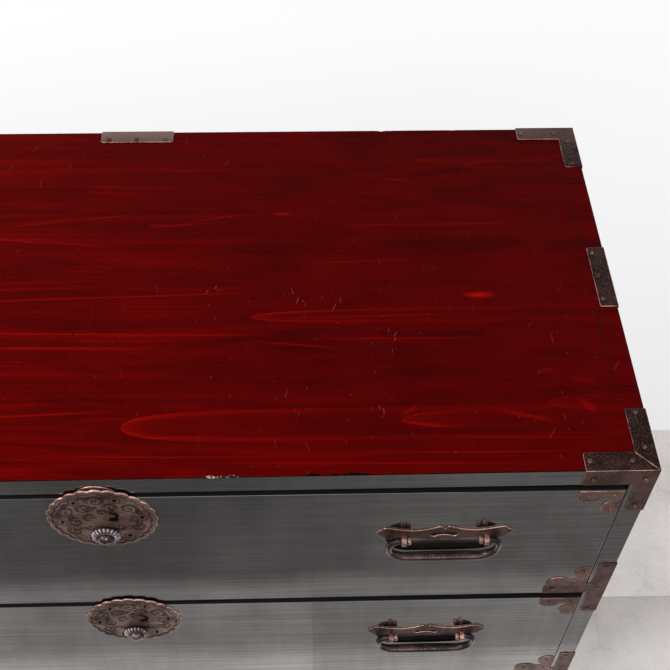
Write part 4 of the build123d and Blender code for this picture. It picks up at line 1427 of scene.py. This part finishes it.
handleLook = {
    "plateThick": 0.0012,
    "plateRound": 0.0004,
    "postHalf": 0.0357,
    "postRound": 0.00035,
    "eyeWidth": 0.004,
    "reach": 0.0059,
    "slotHalf": 0.0084,
    "slotBall": 0.0034,
    "slotBallRise": -0.0008,
    "slotTop": (0.0021, 0.0006),        # edge at the slot's ends, and how much higher in the middle
    "slotLow": (-0.0031, 0.0016),
    "slotShadeSheet": ((0, -0.0004), 0.0155, 0.0048),
    "bailHalf": 0.0476,
    "bailDrop": 0.0322,
    "bailLean": 0.0017,
    "endRadius": 0.0030,
    "armRadius": 0.0033,
    "middleRadius": 0.0045,
    "topBend": 0.0118,
    "bottomBend": 0.0165,
    "armLength": 0.012,
    "barStep": 0.0016,
    "barUneven": 0.02,
    "knobGap": 0.0008,
    "knobIn": 0.0012,
    "boltRound": 0.0003,
    # the knob at each end of a bail: radius and place along its axis
    "knob": (
        (0, -0.0028), (0.0026, -0.0028), (0.0037, -0.0022), (0.0039, -0.0014),
        (0.0039, 0.0002), (0.0034, 0.001), (0, 0.001),
    ),
    # half of the plate's cloud outline in millimetres, from the notch at the top to the middle below
    "cloud": (
        (0.0, 8.2), (1.0, 9.6), (2.0, 11.4), (3.4, 12.6), (5.0, 12.5), (7.6, 11.0), (11.5, 9.2),
        (16.0, 7.6), (22.0, 6.2), (29.0, 5.8), (36.0, 6.8), (43.0, 9.0), (48.6, 10.9), (51.6, 11.2),
        (53.8, 9.9), (54.9, 7.4), (56.6, 7.2), (58.5, 5.6), (59.0, 2.6), (57.9, -0.2), (55.6, -1.6),
        (55.0, -3.4), (53.2, -5.4), (50.2, -7.6), (46.8, -8.8), (42.0, -8.4), (36.0, -7.0),
        (28.0, -6.8), (20.0, -8.0), (13.0, -10.2), (7.0, -11.4), (3.0, -10.6), (0.0, -9.2),
    ),
}


def cloudOutline():
    right = [(x * 0.001, y * 0.001) for x, y in handleLook["cloud"]]
    return right + [(-x, y) for x, y in right[-2:0:-1]]


def bowSlot():
    # the pierced slot: a bow with round ends
    look = handleLook
    half, ball, ballY = look["slotHalf"], look["slotBall"], look["slotBallRise"]
    shares = [i / 6 - 1 for i in range(13)]
    topY, topBulge = look["slotTop"]
    lowY, lowBulge = look["slotLow"]
    upper = [(half * share, topY + topBulge * (1 - share ** 2)) for share in shares]
    lower = [(half * 0.8 * -share, lowY + lowBulge * (1 - share ** 2)) for share in shares]
    turns = [math.pi / 2 - math.pi * 1.25 * i / 9 for i in range(1, 10)]
    right = [(half + ball * math.cos(turn), ballY + ball * math.sin(turn)) for turn in turns]
    return upper + right + lower + [(-x, y) for x, y in right[::-1]]


def makeHandlePlate():
    # a flat plate with rounded edges, filled between its outline and its slot
    thick, rounding = handleLook["plateThick"], handleLook["plateRound"]
    curve = bpy.data.curves.new("handlePlateShape", "CURVE")
    curve.dimensions = "2D"
    curve.fill_mode = "BOTH"
    curve.extrude = thick / 2 - rounding
    curve.bevel_depth = rounding
    curve.offset = -rounding
    curve.bevel_resolution = 2
    for kind, outline in (("NURBS", cloudOutline()), ("POLY", bowSlot())):
        line = curve.splines.new(kind)
        line.points.add(len(outline) - 1)
        for point, (x, y) in zip(line.points, outline):
            point.co = (x, y, 0, 1)
        line.use_cyclic_u = True
        if kind == "NURBS":
            line.order_u = 3
            line.resolution_u = 4
    mesh = outwardFaces(bakedMesh(linked("handlePlateShape", curve), "handlePlateShape"))
    mesh.transform(Matrix.Translation((0, 0, thick / 2)))
    # rounded edges take slot 1, the painted highlight
    for face in mesh.polygons:
        rounded = abs(face.normal.z) < 0.98
        face.use_smooth = rounded
        face.material_index = 1 if rounded else 0
    return mesh


def makeBail():
    # the bar with its middle swell, necks in the eyes and a disc knob at each end
    look = handleLook
    rise = look["plateThick"] + look["reach"]
    knob = look["postHalf"] - look["eyeWidth"] / 2 - look["knobGap"]
    end, half, drop = knob - 0.003, look["bailHalf"], look["bailDrop"]
    corners = [(-end, 0), (-half, 0), (-half, -drop), (half, -drop), (half, 0), (end, 0)]
    corners = [Vector((x, y, rise if y == 0 else rise - look["bailLean"])) for x, y in corners]
    bends = [look["topBend"], look["bottomBend"], look["bottomBend"], look["topBend"]]
    path = roundedPath(corners, bends, look["barStep"])
    radii = []
    for place in path:
        swell = max(0.0, 1 - (place.x / (half * 0.98)) ** 2) ** 0.7 if place.y < -drop * 0.7 else 0.0
        arm = min(1.0, max(0.0, -place.y / look["armLength"]))
        radius = look["endRadius"] + (look["armRadius"] - look["endRadius"]) * arm
        radii.append(radius + (look["middleRadius"] - look["armRadius"]) * swell)
    shapes = [swept(path, radii, 20, look["barUneven"])]
    for side in (-1, 1):
        place = Matrix.Translation((side * (knob - look["knobIn"]), 0, rise))
        shapes.append(moved(turned(look["knob"], 24), place @ Matrix.Rotation(side * math.pi / 2, 4, "Y")))
    mesh = solidFrom("bailShape", *shapes)
    # the knobs at the ends take slot 1, the painted highlight of the posts
    for face in mesh.polygons:
        face.material_index = 1 if abs(face.center.x) < knob + 0.0002 and face.center.y > -0.006 else 0
    return mesh


handlePlateShape = makeHandlePlate()
slotShadeSheet = backPlate("slotShadeSheet", *handleLook["slotShadeSheet"])
bailShape = makeBail()
handleCoats = [irons["patinatedIron"], irons["engravedIronHighlight"]]
bailCoats = [irons["bailIron"], irons["postIronHighlight"]]
postCoats = [irons["postIronHighlight"], irons["engravedIronHighlight"]]


def addHandle(out, facePlace, body, bailBody, replaced):
    seat = faceFrame(facePlace, out)
    name = bailBody + "_handle"
    seatedPiece(name + "_cloud_plate", handlePlateShape, seat, handleCoats, body, replaced=replaced)
    # a near-black sheet under the slot: painted shade
    seatedPiece(name + "_slot_shade", slotShadeSheet, seat, [irons["paintedShadeIron"]], body)
    seatedPiece(name + "_bar", bailShape, seat, bailCoats, bailBody, replaced=[bailBody])


def addPosts(nodeName, pieceName, body):
    width = handleLook["postRound"]
    roundedPiece(nodeName, pieceName, body, "patinated_iron", postCoats, width, curved=True)


pivots = {joint["child"]: Vector(joint["pos_m"]) for joint in frame["joints"] if joint["type"] == "hinge"}
for drawer in drawerNames:
    for side, replaced in (("left", []), ("right", [drawer + "_handle_plates"])):
        bailBody = drawer + "_" + side + "_bail"
        pivot = pivots[bailBody]
        addHandle((0, -1, 0), Vector((pivot.x, frontY[drawer], pivot.z)), drawer, bailBody, replaced)
    addPosts(drawer + "_handle_posts", drawer + "_eye_posts", drawer)
    steel, width = [irons["wornSteel"], irons["wornSteel"]], handleLook["boltRound"]
    names = (drawer + "_lock_bolt", drawer + "_filed_bolt", drawer + "_bolt")
    roundedPiece(*names, "worn_steel", steel, width, curved=True)
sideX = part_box("side_boards")[1].x
for side, sign, replaced in (("left", -1, ["carrying_handle_plates"]), ("right", 1, [])):
    bailBody = side + "_carrying_bail"
    facePlace = Vector((sign * sideX, 0, pivots[bailBody].z))
    addHandle((sign, 0, 0), facePlace, "carcase", bailBody, replaced)
addPosts("carrying_handle_posts", "carrying_eye_posts", "carcase")
print("handles made")

cameraLook = {
    "place": Vector((0.17065, -0.65836, 1.56786)),
    "focal": 1063.72,        # in pixels of a frame this wide
    "frame": 670,
    "pitch": math.radians(50.81),
    "yaw": math.radians(2.56),
    "roll": math.radians(1.18),
}


def makeCamera():
    look = cameraLook
    pitch, yaw, roll = look["pitch"], look["yaw"], look["roll"]
    forward = Vector((math.sin(yaw) * math.cos(pitch), math.cos(yaw) * math.cos(pitch), -math.sin(pitch)))
    level = Vector((math.cos(yaw), -math.sin(yaw), 0))
    upright = level.cross(forward)
    right = level * math.cos(roll) + upright * math.sin(roll)
    up = upright * math.cos(roll) - level * math.sin(roll)
    data = bpy.data.cameras.new("viewCamera")
    data.sensor_width = 36.0
    data.lens = look["focal"] / look["frame"] * data.sensor_width
    camera = linked("viewCamera", data)
    columns = Matrix((right, up, -forward)).transposed()
    camera.matrix_world = Matrix.Translation(look["place"]) @ columns.to_4x4()
    bpy.context.scene.camera = camera


roomLook = {
    "floor": colour(244, 239, 236),
    "floorMark": colour(202, 196, 194),
    "wall": colour(240, 240, 240),
    "wallPlace": 0.39,
    "joints": (0.177, 0.0735),
    "half": 6.0,
    "wallHeight": 3.2,
    "light": 0.75,
    "jointLine": (0.0022, 0.0008, 0.0, 0.55),
    "slabDepth": 0.12,
    "slabShade": 0.65,
    "slabDim": -0.065,
    # painted reflection: how bright the floor shows in gloss, from, to, value at each
    "glossNear": (0.185, 0.225, 1.33, 0.7),
    "glossFar": (0.3, 0.345, 1.0, 0.37),
    "glossPatches": (0.3, 0.7, 0.88, 1.12),
    "glossRight": (0.12, 0.36, 0.0, 0.32),
    "glossLeft": (-0.06, 0.1, 0.86, 1.0),
    # painted light on the wall: brighter from the floor up, and to the left
    "wallRise": (0.0, 0.85, 0.795, 0.965, "LINEAR"),
    "wallLeft": (0.6, -0.6, 0.0, 0.05),
    # lamps: place, what it points at, width and height, power
    "lamps": {
        "windowLamp": ((-1.6, -1.6, 2.4), (0, 0, 0.6), (1.6, 1.6), 38),
        "frontLamp": ((0.4, -2.6, 1.8), (0, -0.2, 0.2), (2.0, 1.2), 18),
    },
}


def softLamp(name, place, target, size, power):
    data = bpy.data.lights.new(name, "AREA")
    data.shape = "RECTANGLE"
    data.size, data.size_y = size
    data.energy = power
    lamp = linked(name, data)
    aim = (Vector(target) - Vector(place)).to_track_quat("-Z", "Y").to_matrix().to_4x4()
    lamp.matrix_world = Matrix.Translation(Vector(place)) @ aim


def seenRays(tree):
    # 1 for what the camera sees directly, in gloss or through glass
    camera, glossy, through = [
        Field(addNode(tree, "ShaderNodeLightPath").outputs[kind])
        for kind in ("Is Camera Ray", "Is Glossy Ray", "Is Transmission Ray")
    ]
    return camera.calc("MAXIMUM", glossy).calc("MAXIMUM", through)


def floorMaterial():
    # pale concrete in slabs; in gloss its colour is a painted reflection, brighter near the chest and darker
    # away from it
    look = roomLook
    material, surface, place = newMaterial("paleFloor")
    x, y, z = place.parts()
    mottle = noise(place, 9.0, 7.0, Roughness=0.62)
    wander = noise(place, 9.0, 7.0, 1, Roughness=0.62).scaled(0.06)
    inputs = {"Vector": place + wander, "Scale": 14.0}
    veins = addNode(place.tree, "ShaderNodeTexVoronoi", inputs, feature="DISTANCE_TO_EDGE")
    marks = Field(veins.outputs["Distance"]).spread(0.05, 0.0) * mottle.spread(0.4, 0.7, 0.0, 0.3)
    marks += mottle.spread(0.4, 0.72, 0.0, 0.42) + noise(place, 160.0, 5.0).spread(0.4, 0.75) * 0.16
    for across, joint in zip((x, y), look["joints"]):
        marks = marks.calc("MAXIMUM", abs(across - joint).spread(*look["jointLine"]))
    front = y.calc("LESS_THAN", joint)        # the slab in front of the last joint is a little darker
    marks += y.spread(joint - look["slabDepth"], joint - 0.002) * front * look["slabShade"]
    paint = blend(marks.calc("MINIMUM", 1.0), look["floor"], look["floorMark"])
    # painted reflection, in glossy rays only: brighter near the chest, darker away from it, in patches,
    # beyond the joint at the right and to the left
    patches = noise(place, 3.5, 3.0)
    away = patches * 0.05 - y - 0.235
    far = away.spread(*look["glossFar"][:2])
    paintedReflection = away.spread(*look["glossNear"]) * away.spread(*look["glossFar"])
    paintedReflection *= patches.spread(*look["glossPatches"])
    paintedReflection *= (x.spread(0.1765, 0.1775) * away.spread(0.33, 0.27)).spread(0.0, 1.0, 1.0, 0.84)
    paintedReflection *= x.spread(*look["glossRight"]) * far + x.spread(*look["glossLeft"])
    glossy = Field(addNode(place.tree, "ShaderNodeLightPath").outputs["Is Glossy Ray"])
    plain = front * look["slabDim"] + 1.0
    shown = paint.scaled((paintedReflection - plain) * glossy + plain)
    feed(surface, {"Base Color": shown, "Roughness": 0.9, "Specular IOR Level": 0.1})
    return material


def wallMaterial():
    # a white wall that camera, glossy and transmission rays see as an emission with painted light, brighter
    # upwards and to the left, and a painted shadow behind the chest; otherwise it lights nothing more than
    # its colour does, clear from behind
    material, surface, place = newMaterial("paleWall")
    tree = place.tree
    feed(surface, {"Base Color": roomLook["wall"], "Roughness": 0.9, "Specular IOR Level": 0.1})
    x, y, z = place.parts()
    level = z.spread(*roomLook["wallRise"]) + x.spread(*roomLook["wallLeft"])
    # painted shadow of the chest on the wall behind it
    level += z.spread(0.9, 0.62) * x.spread(0.62, 0.3) * -0.04
    glow = addNode(tree, "ShaderNodeEmission", {"Color": (1.0, 1.0, 1.0, 1.0), "Strength": level})
    inputs = {0: seenRays(tree), 1: surface.outputs[0], 2: glow.outputs[0]}
    shown = addNode(tree, "ShaderNodeMixShader", inputs)
    clear = addNode(tree, "ShaderNodeBsdfTransparent")
    behind = addNode(tree, "ShaderNodeNewGeometry").outputs["Backfacing"]
    mixed = addNode(tree, "ShaderNodeMixShader", {0: behind, 1: shown.outputs[0], 2: clear.outputs[0]})
    feed(tree.nodes["Material Output"], {"Surface": mixed.outputs[0]})
    return material


def stagePlane(name, corners, material):
    mesh = bpy.data.meshes.new(name)
    mesh.from_pydata(corners, [], [(0, 1, 2, 3)])
    mesh.materials.append(material)
    linked(name, mesh)


def makeRoom():
    half, y, top = roomLook["half"], roomLook["wallPlace"], roomLook["wallHeight"]
    floorCorners = [(-half, -half, 0), (half, -half, 0), (half, half, 0), (-half, half, 0)]
    stagePlane("floor", floorCorners, floorMaterial())
    wallCorners = [(-half, y, 0), (half, y, 0), (half, y, top), (-half, y, top)]
    stagePlane("wall", wallCorners, wallMaterial())
    world = bpy.data.worlds.new("softRoom")
    bpy.context.scene.world = world
    world.use_nodes = True
    level = seenRays(world.node_tree).spread(0.0, 1.0, roomLook["light"], 1.0)
    feed(world.node_tree.nodes["Background"], {"Color": (1.0, 1.0, 1.0, 1.0), "Strength": level})
    for name, lamp in roomLook["lamps"].items():
        softLamp(name, *lamp)


makeCamera()
makeRoom()
bpy.context.scene.view_settings.view_transform = "Standard"
print("room made")
